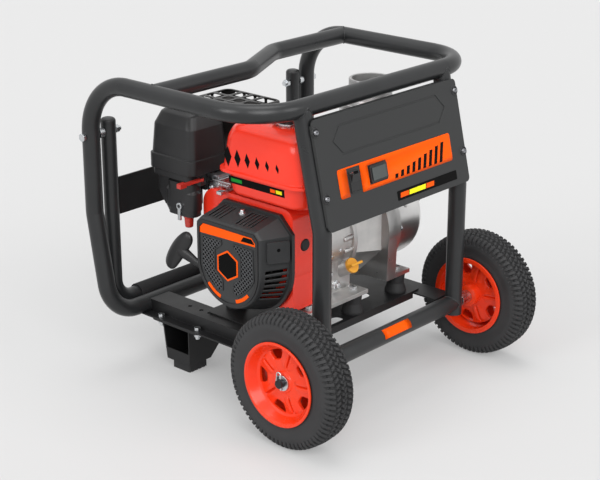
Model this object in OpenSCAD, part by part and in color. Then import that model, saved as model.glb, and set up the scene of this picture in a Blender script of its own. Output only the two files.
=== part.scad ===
// Wheeled engine-driven water pump in a tube frame.
// Millimetres, Z up. X runs along the wheel axle, with the starter at -X and the pump at +X.
// Y runs from the wheel end to the folding handle. Inside the modules Y is counted from the axle.
// The origin is on the ground, at the middle of the overall box.

/* [Frame tubes] */
// Outer diameter of the frame tubes
tube_d = 35; // [28:0.5:38]
// Wall of the frame tubes, seen at their open ends
tube_wall = 2; // [1:0.25:4]
// Height of the top ring above the ground, to the tube centre
ring_z = 605; // [595:1:660]
// Width of the top ring between tube centres
ring_w = 620; // [612:1:660]
// Distance from the axle to the ring's tube over the panel
ring_y = 51.5; // [45:0.5:60]
// Corner radius of the ring in plan
ring_r = 100; // [80:1:110]
// Distance from the axle to the uprights at the handle end
end_y = 498; // [494:1:540]
// Bend radius from the ring down into the end uprights
end_r = 105; // [80:1:110]
// Height at which the end uprights start to lean inwards
kink_z = 337; // [325:1:338]
// Bend radius at that height
kink_r = 60; // [30:1:80]
// Distance from the axle to the low cross tube
low_y = 462; // [455:1:465]
// Height of the low cross tube
low_z = 127; // [124:1:130]
// Corner radius of the low cross tube
low_r = 65; // [45:1:68]
// Distance from the axle to the near part of the top cross tube
cross_y = 320; // [305:1:325]
// Sideways jog of the top cross tube
cross_jog = 71; // [40:1:75]
// Start of the jog, from the middle
cross_from = -53; // [-70:1:-40]
// End of the jog, from the middle
cross_to = 87; // [70:1:110]
// Bend radius of the jog
cross_r = 60; // [30:1:80]
// Distance of the panel uprights from the middle
upright_x = 203; // [196:1:206]
// Height at which the panel uprights start to lean back
lean_z = 385; // [375:1:395]
// Bend radius of that lean
lean_r = 60; // [30:1:80]
// Length of the panel uprights below the axle
upright_drop = 23; // [20:0.5:30]

/* [Wheels] */
// Outer radius of the tyres
wheel_r = 130; // [128:0.5:133]
// Middle plane of each wheel, from the middle of the part
wheel_x = 287.5; // [286.5:0.5:289]
// Width of the tyres
tyre_w = 68; // [60:0.5:70]
// Radius of the tyre shoulders
tyre_shoulder = 9; // [5:0.5:11]
// Depth of the tread grooves
tread_depth = 4; // [2:0.5:5]
// Width of the tread grooves
tread_gap = 4; // [2:0.5:5]
// Number of tread grooves round each shoulder
tread_count = 30; // [18:1:36]
// Radius of the rim under the tyre bead
rim_seat_r = 75; // [73:0.5:76]
// Outer radius of the rim lips
rim_r = 81; // [80:0.5:83]
// Width of the rim over its lips
rim_w = 76; // [74:0.5:77]
// Thickness of the rim barrel and lips
rim_wall = 4; // [3:0.25:5]
// Outer radius of the wheel hub
hub_r = 21; // [19:0.5:24]
// Radius of the hub bush
bush_r = 12; // [11:0.25:14]
// Distance from the wheel's middle plane to the hub's outer end
hub_out = 21; // [18:0.5:22]
// Number of double spokes
spoke_count = 5; // [4:1:6]
// Width of one rib of a spoke
spoke_rib = 8; // [6:0.5:9]
// Slot between the two ribs of a spoke
spoke_slot = 6; // [3:0.5:8]
// Diameter of the axle shaft
axle_d = 16; // [14:0.5:18]
// Length of the axle shaft beyond each hitch pin
axle_over = 7.2; // [5:0.1:9]
// Wire diameter of the hitch pins
hitch_d = 3; // [2:0.25:3.5]

/* [Folding handle] */
// Diameter of the handle tube
handle_d = 30; // [26:0.5:31]
// Distance from the end uprights in to the handle arms, between tube centres
handle_in = 44; // [42:0.5:48]
// Height of the handle pivot
pivot_z = 493; // [480:1:500]
// Diameter of the pivot bolts
pivot_d = 10; // [8:0.5:12]
// Length of the arms above the pivot
handle_top = 20; // [17:0.5:24]
// Height of the grip at rest
grip_z = 138; // [137:1:190]
// Bend radius of the handle corners
handle_r = 45; // [35:1:60]
// Outer diameter of the soft grip
grip_d = 37; // [34:0.5:38]
// Distance from the ends of the soft grip to the handle's bends
grip_side = 11; // [9:0.5:60]
// Height of the middle of the plate between the handle arms
brace_z = 356; // [330:1:420]
// Height of that plate itself
brace_h = 77; // [50:1:90]

/* [Base] */
// Outer face of the base rails, from the middle
rail_x = 217; // [212:0.5:220]
// Height of the top of the base rails
rail_top = 140; // [138:0.5:141]
// Height of the base rails
rail_h = 28; // [24:0.5:30]
// Width of the rails' top flange
rail_flange = 52; // [46:0.5:58]
// Width of the rails' outer flange
rail_lip = 21; // [18:0.5:24]
// Sheet thickness of rails, bed and leg brackets
sheet = 3; // [2:0.25:4]
// Distance from the axle to the front edge of the engine bed
bed_y = 74; // [66:1:78]
// Length of the engine bed along Y
bed_l = 240; // [232:1:260]
// Half width of the engine bed
bed_x = 192; // [186:1:196]
// Height of the engine bed's turned edges
bed_lip = 15; // [8:0.5:20]
// Start of the leg brackets along Y
leg_y = 348; // [340:1:352]
// Length of the leg brackets at their top
leg_l = 79; // [70:1:85]
// How much the leg brackets narrow towards the ground
leg_taper = 14; // [0:1:20]
// Width of the leg brackets
leg_w = 90; // [80:1:95]
// Height of the rubber feet
foot_h = 17; // [12:0.5:20]
// Side of the rubber feet
foot_w = 50; // [40:1:54]

/* [Panel] */
// Half width of the control panel
panel_x = 210; // [206:0.5:213]
// Height of the control panel along its slope
panel_h = 204; // [196:1:205]
// Distance of the panel's face in front of the upright's centre
panel_off = 25; // [23:0.25:27]
// Wall of the moulded panel
panel_wall = 3; // [2:0.25:4]
// Width of the rocker switch
rocker_w = 21; // [18:0.5:23]
// Length of the rocker switch
rocker_l = 32; // [28:0.5:34]
// Tilt of the rocker to each side
rocker_tilt = 10; // [6:0.5:12]
// Width of the hour meter
meter_w = 48; // [40:0.5:52]
// Height of the hour meter
meter_h = 32; // [28:0.5:36]

/* [Engine] */
// Distance from the axle to the crankshaft
crank_y = 192; // [190:0.5:194]
// Height of the crankshaft
crank_z = 285; // [284:0.5:287]
// Height of the engine's foot above the ground
foot_z = 183; // [181:0.5:185]
// Thickness of the engine's and the pump's feet
foot_t = 8; // [6:0.5:8.5]
// Diameter of the crankshaft
crank_d = 30; // [26:0.5:32]
// Starter side of the crankcase
case_back = -112; // [-114:0.5:-110]
// Pump side of the crankcase
case_front = 8; // [6:0.5:10]
// Radius of the crankcase
case_r = 86; // [82:0.5:88]
// Slope of the cylinder above level
barrel_slope = 25; // [22:0.5:27]
// Half width of the cooling fins
fin_half = 47; // [42:0.5:48]
// Number of cooling fins
fin_count = 7; // [5:1:7]
// Distance between cooling fins
fin_pitch = 9; // [8:0.25:9]
// Starter side of the fan shroud
shroud_back = -180; // [-182:0.5:-176]
// Depth of the air duct beside the shroud
duct_l = 10; // [7:0.5:11]
// Wall of shroud and starter cover
cover_wall = 3; // [2:0.25:4]
// Outer face of the starter cover
starter_face = -240; // [-244:0.5:-236]
// Pitch of the starter cover's square mesh
mesh_pitch = 9; // [8:0.5:14]
// Opening of one mesh hole
mesh_hole = 5.5; // [3:0.25:6]
// Radius of the rope reel
reel_r = 55; // [45:0.5:60]
// Radius of the flywheel
flywheel_r = 80; // [74:0.5:82]

/* [Tank, air cleaner and exhaust] */
// Length of the tank along Y
tank_l = 228; // [215:1:235]
// Width of the tank along X
tank_w = 168; // [150:1:174]
// Height of the tank's bottom
tank_z = 408; // [406:0.5:414]
// Height of the tank's rim
tank_rim_z = 457; // [450:0.5:462]
// Height of the tank's top
tank_top = 548; // [535:0.5:552]
// Radius of the filler cap
cap_r = 33; // [28:0.5:36]
// Length of the air cleaner along Y
cleaner_l = 125; // [115:1:128]
// Width of the air cleaner along X
cleaner_w = 108; // [95:1:112]
// Height of the air cleaner's cover
cleaner_h = 121; // [105:1:124]
// Length of the muffler guard along Y
guard_l = 154; // [146:1:158]
// Width of the muffler guard along X
guard_w = 124; // [116:1:128]
// Height of the muffler guard
guard_h = 92; // [86:1:96]

/* [Pump] */
// Start of the pump's back plate along X
plate_x = 90; // [88:0.5:94]
// Thickness of the back plate
plate_t = 28; // [22:0.5:32]
// Radius of the back plate
plate_r = 112; // [111:0.5:114]
// Outer radius of the pump casing
casing_r = 95; // [92:0.5:97]
// Length of the pump casing
casing_l = 107; // [100:0.5:112]
// Wall of the pump casing
casing_wall = 7; // [5:0.25:9]
// Corner radius of the pump casing
casing_round = 18; // [12:0.5:24]
// Radius of the impeller
impeller_r = 62; // [54:0.5:64]
// Number of impeller vanes
vane_count = 5; // [3:1:6]
// Outside diameter of the hose spigots, for a 3 inch pipe thread
spigot_d = 87.9; // [80:0.1:92]
// Bore of the ports
port_d = 76; // [70:0.5:78]
// Length of the hose spigots
spigot_l = 46; // [36:0.5:50]
// Height of the suction port above the crankshaft
suction_up = 30; // [24:0.5:34]
// Height of the discharge seat above the crankshaft
discharge_up = 228; // [200:1:232]

/* [Fits] */
// Radial running clearance of pins and shafts
run = 0.05; // [0.02:0.01:0.09]
// Working clearance between moving pieces
gap = 0.4; // [0.3:0.05:0.6]
// Clearance at welded and bolted seats
seat = 0.15; // [0.05:0.05:0.25]

/* [Hidden] */
$fn = 48;
// Heights in the modules are counted from a level this far below the axle
axle_z = 127;
lift = wheel_r - axle_z;
axle_y = (wheel_r - end_y - max(tube_d, grip_d) / 2) / 2;
tube_r = tube_d / 2;
bend_step = 0.05;
half_w = ring_w / 2;
lean = atan2(ring_y, ring_z - lean_z);
frame_col = "#434446";
black_col = "#1d1d1f";
red_col = "#e8442f";
orange_col = "#f04a24";
steel_col = "#c9ccd0";
alu_col = "#b9b6b3";
rubber_col = "#2b2b2d";
hitch_x = wheel_x + hub_out + gap + 3 + hitch_d / 2 + 0.5;
axle_half = hitch_x + axle_over;
handle_x = half_w - handle_in;
grip_l = 2 * (handle_x - handle_r - grip_side);
bed_top = rail_top + sheet;
mount_spots = [for (x = [-132, 0], y = [-95, 95]) [x, crank_y + y]];
pump_spots = [for (y = [-88, 88]) [plate_x + plate_t + 26, crank_y + y]];
rail_bolt_y = [leg_y - 45, leg_y + 58];
casing_x = plate_x + plate_t;
bell_bolt_r = case_r - 4;
casing_end = casing_x + casing_l;
pad_x = casing_end + 4;
port_x = casing_x + port_d / 2 + 5;
discharge_z = crank_z + discharge_up;
flap_x = casing_end - casing_wall - 6 - gap;
flap_pin = port_d / 2 + 8;
tank_x = -220 + tank_w / 2;
tank_y = (tank_rim_z + 3 - lean_z) * tan(lean) + tube_r / cos(lean) - 3.5 + tank_l / 2;
cap_y = tank_y - 6;
cleaner_x = -220 + cleaner_w / 2;
cleaner_y = 315 + cleaner_l / 2;
cleaner_z = 424;
guard_x = -100 + guard_w / 2;
guard_y = 303 + guard_l / 2;
guard_z = 440;
barrel_x = (case_back + case_front) / 2;
barrel_from = case_r - 6;
head_from = barrel_from + fin_count * fin_pitch;
reel_x = starter_face + 22;
rope_z = crank_z - 38;
dip_spot = [-15, crank_y - 62, crank_z - 63];
dip_tilt = 30;
dip_l = 46;
prime_spot = [casing_x + casing_l / 2, crank_y - 72, crank_z + 98];
rocker_spot = [-123, 75.5];
meter_spot = [-57, 77.5];
carb_spot = [-148, 311, 404];
choke_spot = [-191, 320, 411];
valve_spot = [-214.4, 356, 358];
throttle_spot = [-146, crank_y + 70, crank_z + 113 + gap];
screw_spots = [for (s = [-1, 1], v = [61, 181]) [s * upright_x, v]];

// Placing helpers
module from_axle() {
    translate([0, axle_y, lift]) children();
}
module at_crank(x = 0) {
    translate([x, crank_y, crank_z]) children();
}
module on_panel() {
    translate([0, 0, lean_z]) rotate([-lean, 0, 0]) children();
}
module on_wheel(side) {
    translate([side * wheel_x, 0, axle_z]) rotate([0, side * 90, 0]) children();
}
// Flat outline carried along X, with its own X as Y and its own Y as Z
module along_x(x0, x1) {
    translate([x0, 0, 0]) rotate([90, 0, 90]) linear_extrude(x1 - x0) children();
}
// Flat outline carried along Y, with its own Y as Z
module along_y(y0, y1) {
    translate([0, y1, 0]) rotate([90, 0, 0]) linear_extrude(y1 - y0) children();
}
module rod_x(x0, x1, d) {
    translate([x0, 0, 0]) rotate([0, 90, 0]) cylinder(d = d, h = x1 - x0);
}
module rod_y(y0, y1, d) {
    translate([0, y0, 0]) rotate([-90, 0, 0]) cylinder(d = d, h = y1 - y0);
}
module hex_head(d, h) {
    cylinder(d = d, h = h, $fn = 6);
}
// Rectangle with round corners, about its middle
module rounded(w, h, r) {
    square([w - 2 * r, h], center = true);
    square([w, h - 2 * r], center = true);
    for (x = [-1, 1], y = [-1, 1]) translate([x * (w / 2 - r), y * (h / 2 - r)]) circle(r);
}
module ring_of(count, r) {
    for (i = [0 : count - 1]) rotate(360 / count * (i + 0.5)) translate([r, 0]) children();
}

// Bent tube along a list of corner points, with a bend radius at each corner.
// The straight lengths reach a little way over the bends, which are drawn slightly thinner.
function unit(v) = v / norm(v);
function turn(a, b, c) = acos(unit(b - a) * unit(c - b));
function trim(a, b, c, r) = r * tan(turn(a, b, c) / 2);
module placed(x, y, z, at) {
    multmatrix([[x.x, y.x, z.x, at.x], [x.y, y.y, z.y, at.y], [x.z, y.z, z.z, at.z], [0, 0, 0, 1]])
        children();
}
module straight(a, b, d) {
    along = unit(b - a);
    across = unit(cross(abs(along.z) > 0.9 ? [1, 0, 0] : [0, 0, 1], along));
    placed(across, cross(along, across), along, a) cylinder(d = d, h = norm(b - a));
}
module bend(a, b, c, r, d) {
    along = unit(b - a);
    axis = unit(cross(along, unit(c - b)));
    inwards = cross(axis, along);
    start = b - along * trim(a, b, c, r);
    placed(-inwards, along, axis, start + inwards * r)
        rotate_extrude(angle = turn(a, b, c)) translate([r, 0]) circle(d = d);
}
module bent_tube(points, radii, d, closed = false) {
    n = len(points);
    first = closed ? 0 : 1;
    last = closed ? n - 1 : n - 2;
    cut = [for (i = [0 : n - 1]) i < first || i > last ? 0 :
        trim(points[(i + n - 1) % n], points[i], points[(i + 1) % n], radii[i])];
    lap = [for (i = [0 : n - 1]) cut[i] > 0 ? sqrt(bend_step * radii[i]) : 0];
    for (i = [0 : closed ? n - 1 : n - 2]) {
        a = points[i];
        b = points[(i + 1) % n];
        along = unit(b - a);
        straight(a + along * (cut[i] - lap[i]), b - along * (cut[(i + 1) % n] - lap[(i + 1) % n]), d);
    }
    for (i = [first : last])
        bend(points[(i + n - 1) % n], points[i], points[(i + 1) % n], radii[i], d - 2 * bend_step);
}

// Frame tubes
module main_hoop() {
    corners = [[-half_w, ring_y, ring_z], [half_w, ring_y, ring_z], [half_w, end_y, ring_z],
        [half_w, end_y, kink_z], [half_w, low_y, low_z], [-half_w, low_y, low_z],
        [-half_w, end_y, kink_z], [-half_w, end_y, ring_z]];
    radii = [ring_r, ring_r, end_r, kink_r, low_r, low_r, kink_r, end_r];
    color(frame_col) from_axle() difference() {
        bent_tube(corners, radii, tube_d, closed = true);
        translate([0, end_y, pivot_z])
            rod_x(-half_w - tube_d, half_w + tube_d, pivot_d + 2 * seat);
    }
}
module cross_tube() {
    far_y = cross_y + cross_jog;
    color(frame_col) from_axle() difference() {
        bent_tube([[-half_w, cross_y, ring_z], [cross_from, cross_y, ring_z],
            [cross_to, far_y, ring_z], [half_w, far_y, ring_z]], [0, cross_r, cross_r, 0], tube_d);
        for (s = [-1, 1]) translate([s * half_w, 0, ring_z]) rod_y(ring_y, end_y, tube_d + 2 * seat);
    }
}
module panel_upright(side) {
    low = axle_z - upright_drop;
    color(frame_col) from_axle() difference() {
        translate([side * upright_x, 0, 0]) bent_tube([[0, 0, low], [0, 0, lean_z],
            [0, ring_y, ring_z]], [0, lean_r, 0], tube_d);
        translate([0, ring_y, ring_z]) rod_x(-half_w, half_w, tube_d + 2 * seat);
        translate([0, 0, axle_z]) rod_x(-half_w, half_w, axle_d + 2 * seat);
        translate([side * upright_x, 0, low - 1]) cylinder(d = tube_d - 2 * tube_wall, h = 8);
        on_panel() for (p = screw_spots) translate([p.x, 0, p.y]) rod_y(-tube_r - 1, -tube_r + 9, 5);
    }
}
module upright_left() {
    panel_upright(-1);
}
module upright_right() {
    panel_upright(1);
}
module axle_tube() {
    color(frame_col) from_axle() difference() {
        translate([0, 0, axle_z]) rod_x(-upright_x, upright_x, tube_d);
        translate([0, 0, axle_z]) rod_x(-half_w, half_w, axle_d + 2 * seat);
        for (s = [-1, 1]) translate([s * upright_x, 0, 0])
            cylinder(d = tube_d + 2 * seat, h = lean_z);
    }
}

// Base
module base_rail(side) {
    color(black_col) from_axle() difference() {
        along_y(tube_r + seat, low_y) mirror([side < 0 ? 1 : 0, 0]) {
            translate([rail_x - rail_flange, rail_top - sheet]) square([rail_flange, sheet]);
            translate([rail_x - sheet, rail_top - rail_h]) square([sheet, rail_h]);
            translate([rail_x - sheet, rail_top - rail_h]) square([rail_lip + sheet, sheet]);
        }
        translate([0, low_y, low_z]) rod_x(-half_w, half_w, tube_d + 2 * seat);
        for (y = [306, 328, 360]) translate([side * (rail_x - rail_flange / 2), y, rail_top - 10])
            cylinder(d = 9, h = 20);
        for (y = rail_bolt_y) translate([side * (rail_x + rail_lip / 2), y, 0])
            cylinder(d = 8 + 2 * seat, h = rail_top);
    }
}
module base_rail_left() {
    base_rail(-1);
}
module base_rail_right() {
    base_rail(1);
}
module engine_bed() {
    inner = rail_x - rail_flange - gap;
    color(black_col) from_axle() difference() {
        union() {
            translate([0, bed_y + bed_l / 2, rail_top]) linear_extrude(sheet)
                rounded(2 * bed_x, bed_l, 14);
            for (y = [bed_y, bed_y + bed_l - sheet]) translate([-inner, y, bed_top - bed_lip])
                cube([2 * inner, sheet, bed_lip]);
        }
        for (x = [-66, 66], y = [-40, 40]) translate([x, crank_y + y, rail_top - 1])
            linear_extrude(sheet + 2)
            rounded(60, 58, 18);
        translate([-66, bed_y + 22, rail_top - 1]) linear_extrude(sheet + 2) rounded(58, 24, 11);
        for (p = concat(mount_spots, pump_spots)) translate([p.x, p.y, rail_top - 1])
            cylinder(d = 10 + 2 * seat, h = sheet + 2);
    }
}
// Outline walls of a leg, drawn in by a wall thickness
module leg_body(inset) {
    low = foot_h + inset;
    top = rail_top - rail_h;
    chamfer = 30;
    out = rail_x - 9 - (inset > 0 ? -1 : 0);
    inn = rail_x - 9 - leg_w + inset;
    end = leg_y + leg_l - inset;
    intersection() {
        along_y(leg_y + inset, leg_y + leg_l + 1) polygon([[out, top + inset / 9], [inn, top + inset / 9],
            [inn, low + chamfer], [inn + chamfer, low], [out, low]]);
        along_x(inn - 1, out + 2) polygon([[leg_y + inset, top + 1], [end, top + 1],
            [end, top], [end - leg_taper, low], [leg_y + inset, low]]);
    }
}
module leg_bracket(side) {
    strip = 24;
    top = rail_top - rail_h;
    reach = rail_x + rail_lip;
    mirror([side < 0 ? 1 : 0, 0, 0]) difference() {
        union() {
            difference() {
                leg_body(0);
                difference() {
                    leg_body(sheet);
                    translate([rail_x - 9 - sheet, leg_y, 0]) cube([sheet + 3, leg_l, foot_h + strip]);
                }
            }
            translate([(reach + rail_x - 9 - leg_w) / 2, leg_y + leg_l / 2 - 28, top - sheet])
                linear_extrude(sheet) rounded(reach - rail_x + 9 + leg_w, leg_l + 56, 12);
        }
        translate([rail_x - 9 - foot_w / 2 - 8, leg_y + leg_l / 2 - 6, 0])
            cylinder(d = 12 + 2 * seat, h = 60);
        for (y = rail_bolt_y) translate([rail_x + rail_lip / 2, y, 0])
            cylinder(d = 8 + 2 * seat, h = rail_top);
    }
}
module leg_brackets() {
    color(black_col) from_axle() for (s = [-1, 1]) leg_bracket(s);
}
module rubber_feet() {
    groove = 3;
    color(rubber_col) from_axle() for (s = [-1, 1])
        translate([s * (rail_x - 9 - foot_w / 2 - 8), leg_y + leg_l / 2 - 6, -lift]) {
            difference() {
                linear_extrude(foot_h + lift) rounded(foot_w, foot_w, 5);
                for (i = [-2 : 2]) translate([i * foot_w / 5 - groove / 2, -foot_w, -1])
                    cube([groove, 2 * foot_w, groove + 1]);
            }
            cylinder(d = 12, h = foot_h + lift + sheet + 5);
        }
}
// Rubber buffers under the engine and the pump
module engine_mounts() {
    top = foot_z - bed_top;
    color(rubber_col) from_axle() for (p = concat(mount_spots, pump_spots)) translate([p.x, p.y, bed_top])
        rotate_extrude()
            polygon([[0, 0], [22, 0], [22, 4], [17, top / 2], [19, top - 3], [19, top], [0, top]]);
}
module base_bolts() {
    color(steel_col) from_axle() {
        for (s = [-1, 1], y = rail_bolt_y) translate([s * (rail_x + rail_lip / 2), y, rail_top - rail_h]) {
            translate([0, 0, sheet]) hex_head(14, 7);
            translate([0, 0, -15]) cylinder(d = 8, h = 15 + sheet + 5);
            translate([0, 0, -sheet - 7]) hex_head(14, 7);
        }
        for (p = concat(mount_spots, pump_spots)) translate([p.x, p.y, 0]) {
            translate([0, 0, foot_z]) cylinder(d = 10, h = foot_t + 5);
            translate([0, 0, foot_z + foot_t]) hex_head(16, 5.5);
            translate([0, 0, rail_top - 11]) cylinder(d = 10, h = 11 + sheet);
            translate([0, 0, rail_top - 8]) hex_head(16, 8);
        }
    }
}

// Panel
module control_panel() {
    deep = panel_off - tube_r - 1.2;
    inner = upright_x - tube_r - 2;
    color(frame_col) from_axle() on_panel() difference() {
        union() {
            along_y(-panel_off, -panel_off + panel_wall)
                translate([0, panel_h / 2]) rounded(2 * panel_x, panel_h, 9);
            for (s = [-1, 1])
                translate([s * (panel_x - panel_wall / 2), -panel_off + deep / 2, panel_h / 2])
                cube([panel_wall, deep, panel_h - 20], center = true);
            for (v = [0, panel_h - panel_wall]) translate([-inner, -panel_off, v])
                cube([2 * inner, 22, panel_wall]);
            for (p = screw_spots) translate([p.x, 0, p.y]) rod_y(-panel_off, -tube_r - seat, 13);
            translate([rocker_spot.x, 0, rocker_spot.y]) along_y(-panel_off - 2.5, -panel_off + 9)
                rounded(rocker_w + 6, rocker_l + 8, 3);
        }
        along_y(-panel_off - 1, -panel_off + 1) translate([0, 156]) difference() {
            polygon([[-166, 0], [-142, 28], [142, 28], [166, 0], [142, -28], [-142, -28]]);
            polygon([[-161, 0], [-140, 24], [140, 24], [161, 0], [140, -24], [-140, -24]]);
        }
        for (p = screw_spots) translate([p.x, 0, p.y]) rod_y(-panel_off - 1, 0, 5);
        translate([rocker_spot.x, 0, rocker_spot.y]) along_y(-panel_off - 4, 0)
            square([rocker_w + 2 * gap, rocker_l + 4], center = true);
        translate([meter_spot.x, 0, meter_spot.y]) along_y(-panel_off - 1, 0)
            square([meter_w - 6, meter_h - 6], center = true);
        translate([0, -panel_off + 4.5, rocker_spot.y]) rod_x(rocker_spot.x - rocker_w / 2 - 2.4,
            rocker_spot.x + rocker_w / 2 + 2.4, 4 + 2 * run);
    }
}
module panel_screws() {
    color(steel_col) from_axle() on_panel() for (p = screw_spots) translate([p.x, 0, p.y]) {
        translate([0, -panel_off, 0]) rotate([90, 0, 0]) difference() {
            cylinder(d1 = 11, d2 = 8, h = 4);
            translate([0, 0, 2]) hex_head(4.5, 3);
        }
        rod_y(-panel_off - 0.5, -tube_r + 8, 5 - 2 * seat);
    }
}
module rocker_switch() {
    half = rocker_l / 2;
    color(black_col) from_axle() on_panel()
        translate([rocker_spot.x, -panel_off + 4.5, rocker_spot.y]) rotate([rocker_tilt, 0, 0]) {
            along_x(-rocker_w / 2, rocker_w / 2)
                polygon([[-10, -half], [-7, 0], [-10, half], [2, half - 2], [4, 0], [2, -half + 2]]);
            rod_x(-rocker_w / 2 - 2, rocker_w / 2 + 2, 4);
        }
}
module hour_meter() {
    color(black_col) from_axle() on_panel() translate([meter_spot.x, -panel_off, meter_spot.y])
        difference() {
        union() {
            along_y(-4, 0) rounded(meter_w, meter_h, 4);
            along_y(-0.5, 20) square([meter_w - 6 - 2 * seat, meter_h - 6 - 2 * seat], center = true);
        }
        along_y(-5, -2.5) rounded(meter_w - 12, meter_h - 12, 2);
    }
}

// Wheels, modelled about their own axle with the outer side at +Z
module tyre_body() {
    half = tyre_w / 2;
    soft = tyre_shoulder;
    rotate_extrude($fn = 96) {
        translate([rim_seat_r + seat, -half + 1.5]) square([14, tyre_w - 3]);
        translate([rim_r + 3, -half]) square([wheel_r - soft - rim_r - 3, tyre_w]);
        translate([wheel_r - soft - 1, -half + soft]) square([soft + 1, tyre_w - 2 * soft]);
        for (s = [-1, 1]) translate([wheel_r - soft, s * (half - soft)]) circle(soft);
    }
}
module tyre(side) {
    half = tyre_w / 2;
    lug = tyre_w / 3;
    color(rubber_col) from_axle() on_wheel(side) difference() {
        tyre_body();
        for (s = [-1, 1], i = [0 : tread_count - 1])
            rotate(360 / tread_count * (i + (s > 0 ? 0.5 : 0)))
                translate([wheel_r - tread_depth, 0, s * (half - lug / 2 + 2)]) rotate([s * 16, 0, 0])
                    translate([0, -tread_gap / 2, -lug / 2]) cube([tread_depth + 9, tread_gap, lug + 8]);
        for (s = [-1, 1]) translate([0, 0, s * lug / 4 - 1.2]) difference() {
            cylinder(r = wheel_r + 1, h = 2.4);
            translate([0, 0, -1]) cylinder(r = wheel_r - tread_depth, h = 5);
        }
    }
}
module tyre_left() {
    tyre(-1);
}
module tyre_right() {
    tyre(1);
}
module rim(side) {
    half = rim_w / 2;
    dish = hub_out - 9;
    sector = 99 * tan(180 / spoke_count);
    spoke_w = 2 * spoke_rib + spoke_slot + 3;
    color(orange_col) from_axle() on_wheel(side) difference() {
        union() {
            rotate_extrude($fn = 96) {
                translate([rim_seat_r - rim_wall, -half]) square([rim_wall, rim_w]);
                for (s = [-1, 1]) translate([rim_seat_r - rim_wall, s > 0 ? half - rim_wall : -half])
                    square([rim_r - rim_seat_r + rim_wall, rim_wall]);
                translate([hub_r - 1, dish]) square([rim_seat_r - hub_r - 1, 5]);
                translate([bush_r + seat, -half + 0.2])
                    square([hub_r - bush_r - seat, half + hub_out - 0.2]);
            }
            for (i = [0 : spoke_count - 1], s = [-1, 1]) rotate(360 / spoke_count * i)
                translate([hub_r - 2, s * (spoke_slot + spoke_rib) / 2 - spoke_rib / 2, dish - 4])
                    cube([rim_seat_r - hub_r, spoke_rib, 14]);
        }
        for (i = [0 : spoke_count - 1]) rotate(360 / spoke_count * (i + 0.5)) translate([0, 0, dish - 1])
            linear_extrude(8) difference() {
                intersection() {
                    circle(rim_seat_r - rim_wall - 9);
                    polygon([[0, 0], [99, sector], [99, -sector]]);
                }
                circle(hub_r + 9);
                for (s = [-1, 1]) rotate(s * 180 / spoke_count) translate([0, -spoke_w / 2])
                    square([99, spoke_w]);
            }
    }
}
module rim_left() {
    rim(-1);
}
module rim_right() {
    rim(1);
}
module hub_bush(side) {
    color(steel_col) from_axle() on_wheel(side) translate([0, 0, -rim_w / 2]) difference() {
        cylinder(r = bush_r, h = rim_w / 2 + hub_out);
        translate([0, 0, -1]) cylinder(r = axle_d / 2 + run, h = rim_w + 2);
    }
}
module hub_bush_left() {
    hub_bush(-1);
}
module hub_bush_right() {
    hub_bush(1);
}
module axle_shaft() {
    color(steel_col) from_axle() difference() {
        translate([0, 0, axle_z]) rod_x(-axle_half, axle_half, axle_d);
        for (s = [-1, 1]) translate([s * hitch_x, 0, axle_z - axle_d])
            cylinder(d = hitch_d + 2 * seat, h = 2 * axle_d);
    }
}
module wheel_retainers() {
    leg = axle_d / 2 + hitch_d / 2 + 0.4;
    color(steel_col) from_axle() for (s = [-1, 1]) translate([0, 0, axle_z]) mirror([s < 0 ? 1 : 0, 0, 0]) {
        difference() {
            union() {
                rod_x(upright_x + tube_r + seat, wheel_x - rim_w / 2 - gap, axle_d + 10);
                rod_x(wheel_x + hub_out + gap, wheel_x + hub_out + gap + 3, axle_d + 14);
            }
            rod_x(upright_x, axle_half, axle_d + 2 * seat);
        }
        bent_tube([[hitch_x, 0, -14], [hitch_x, 0, 20], [hitch_x, leg, 20], [hitch_x, leg, -11]],
            [0, leg / 2 - 0.1, leg / 2 - 0.1, 0], hitch_d);
    }
}

// Folding handle
module handle_tube() {
    top = pivot_z + handle_top;
    color(frame_col) from_axle() difference() {
        translate([0, end_y, 0]) bent_tube([[-handle_x, 0, top], [-handle_x, 0, grip_z],
            [handle_x, 0, grip_z], [handle_x, 0, top]], [0, handle_r, handle_r, 0], handle_d);
        translate([0, end_y, pivot_z]) rod_x(-half_w, half_w, pivot_d + 2 * run);
        for (s = [-1, 1]) translate([s * handle_x, end_y, top - 8])
            cylinder(d = handle_d - 2 * tube_wall, h = 9);
    }
}
module handle_plate() {
    reach = handle_x - handle_d / 2 - seat;
    color(black_col) from_axle() along_y(end_y - sheet / 2, end_y + sheet / 2)
        translate([0, brace_z]) rounded(2 * reach, brace_h, 6);
}
module handle_grip() {
    color(black_col) from_axle() translate([0, end_y, grip_z]) rotate([0, 90, 0]) rotate_extrude()
        difference() {
            translate([0, -grip_l / 2]) square([grip_d / 2, grip_l]);
            translate([-1, -grip_l]) square([handle_d / 2 + seat + 1, 2 * grip_l]);
        }
}
module handle_caps() {
    r = handle_d / 2;
    dome = 7;
    color(black_col) from_axle() for (s = [-1, 1]) translate([s * handle_x, end_y, pivot_z + handle_top])
        rotate_extrude() {
            square([r - dome, dome]);
            square([r, 1]);
            intersection() {
                translate([r - dome, 0]) circle(dome);
                square([r, dome]);
            }
            translate([0, -7]) square([r - tube_wall - seat, 7.5]);
        }
}
module handle_pivots() {
    arm = handle_d / 2;
    outer = half_w + tube_r + seat;
    color(steel_col) from_axle() for (s = [-1, 1]) translate([0, end_y, pivot_z])
        mirror([s < 0 ? 1 : 0, 0, 0]) {
        rod_x(handle_x - arm - 14, outer + 1, pivot_d);
        translate([outer, 0, 0]) rotate([0, 90, 0]) hex_head(17, 6);
        translate([handle_x - arm - gap - 8, 0, 0]) rotate([0, 90, 0]) hex_head(17, 8);
        difference() {
            rod_x(handle_x + arm + gap, half_w - tube_r - seat, pivot_d + 10);
            rod_x(handle_x, half_w, pivot_d - 1);
        }
    }
}

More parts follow.
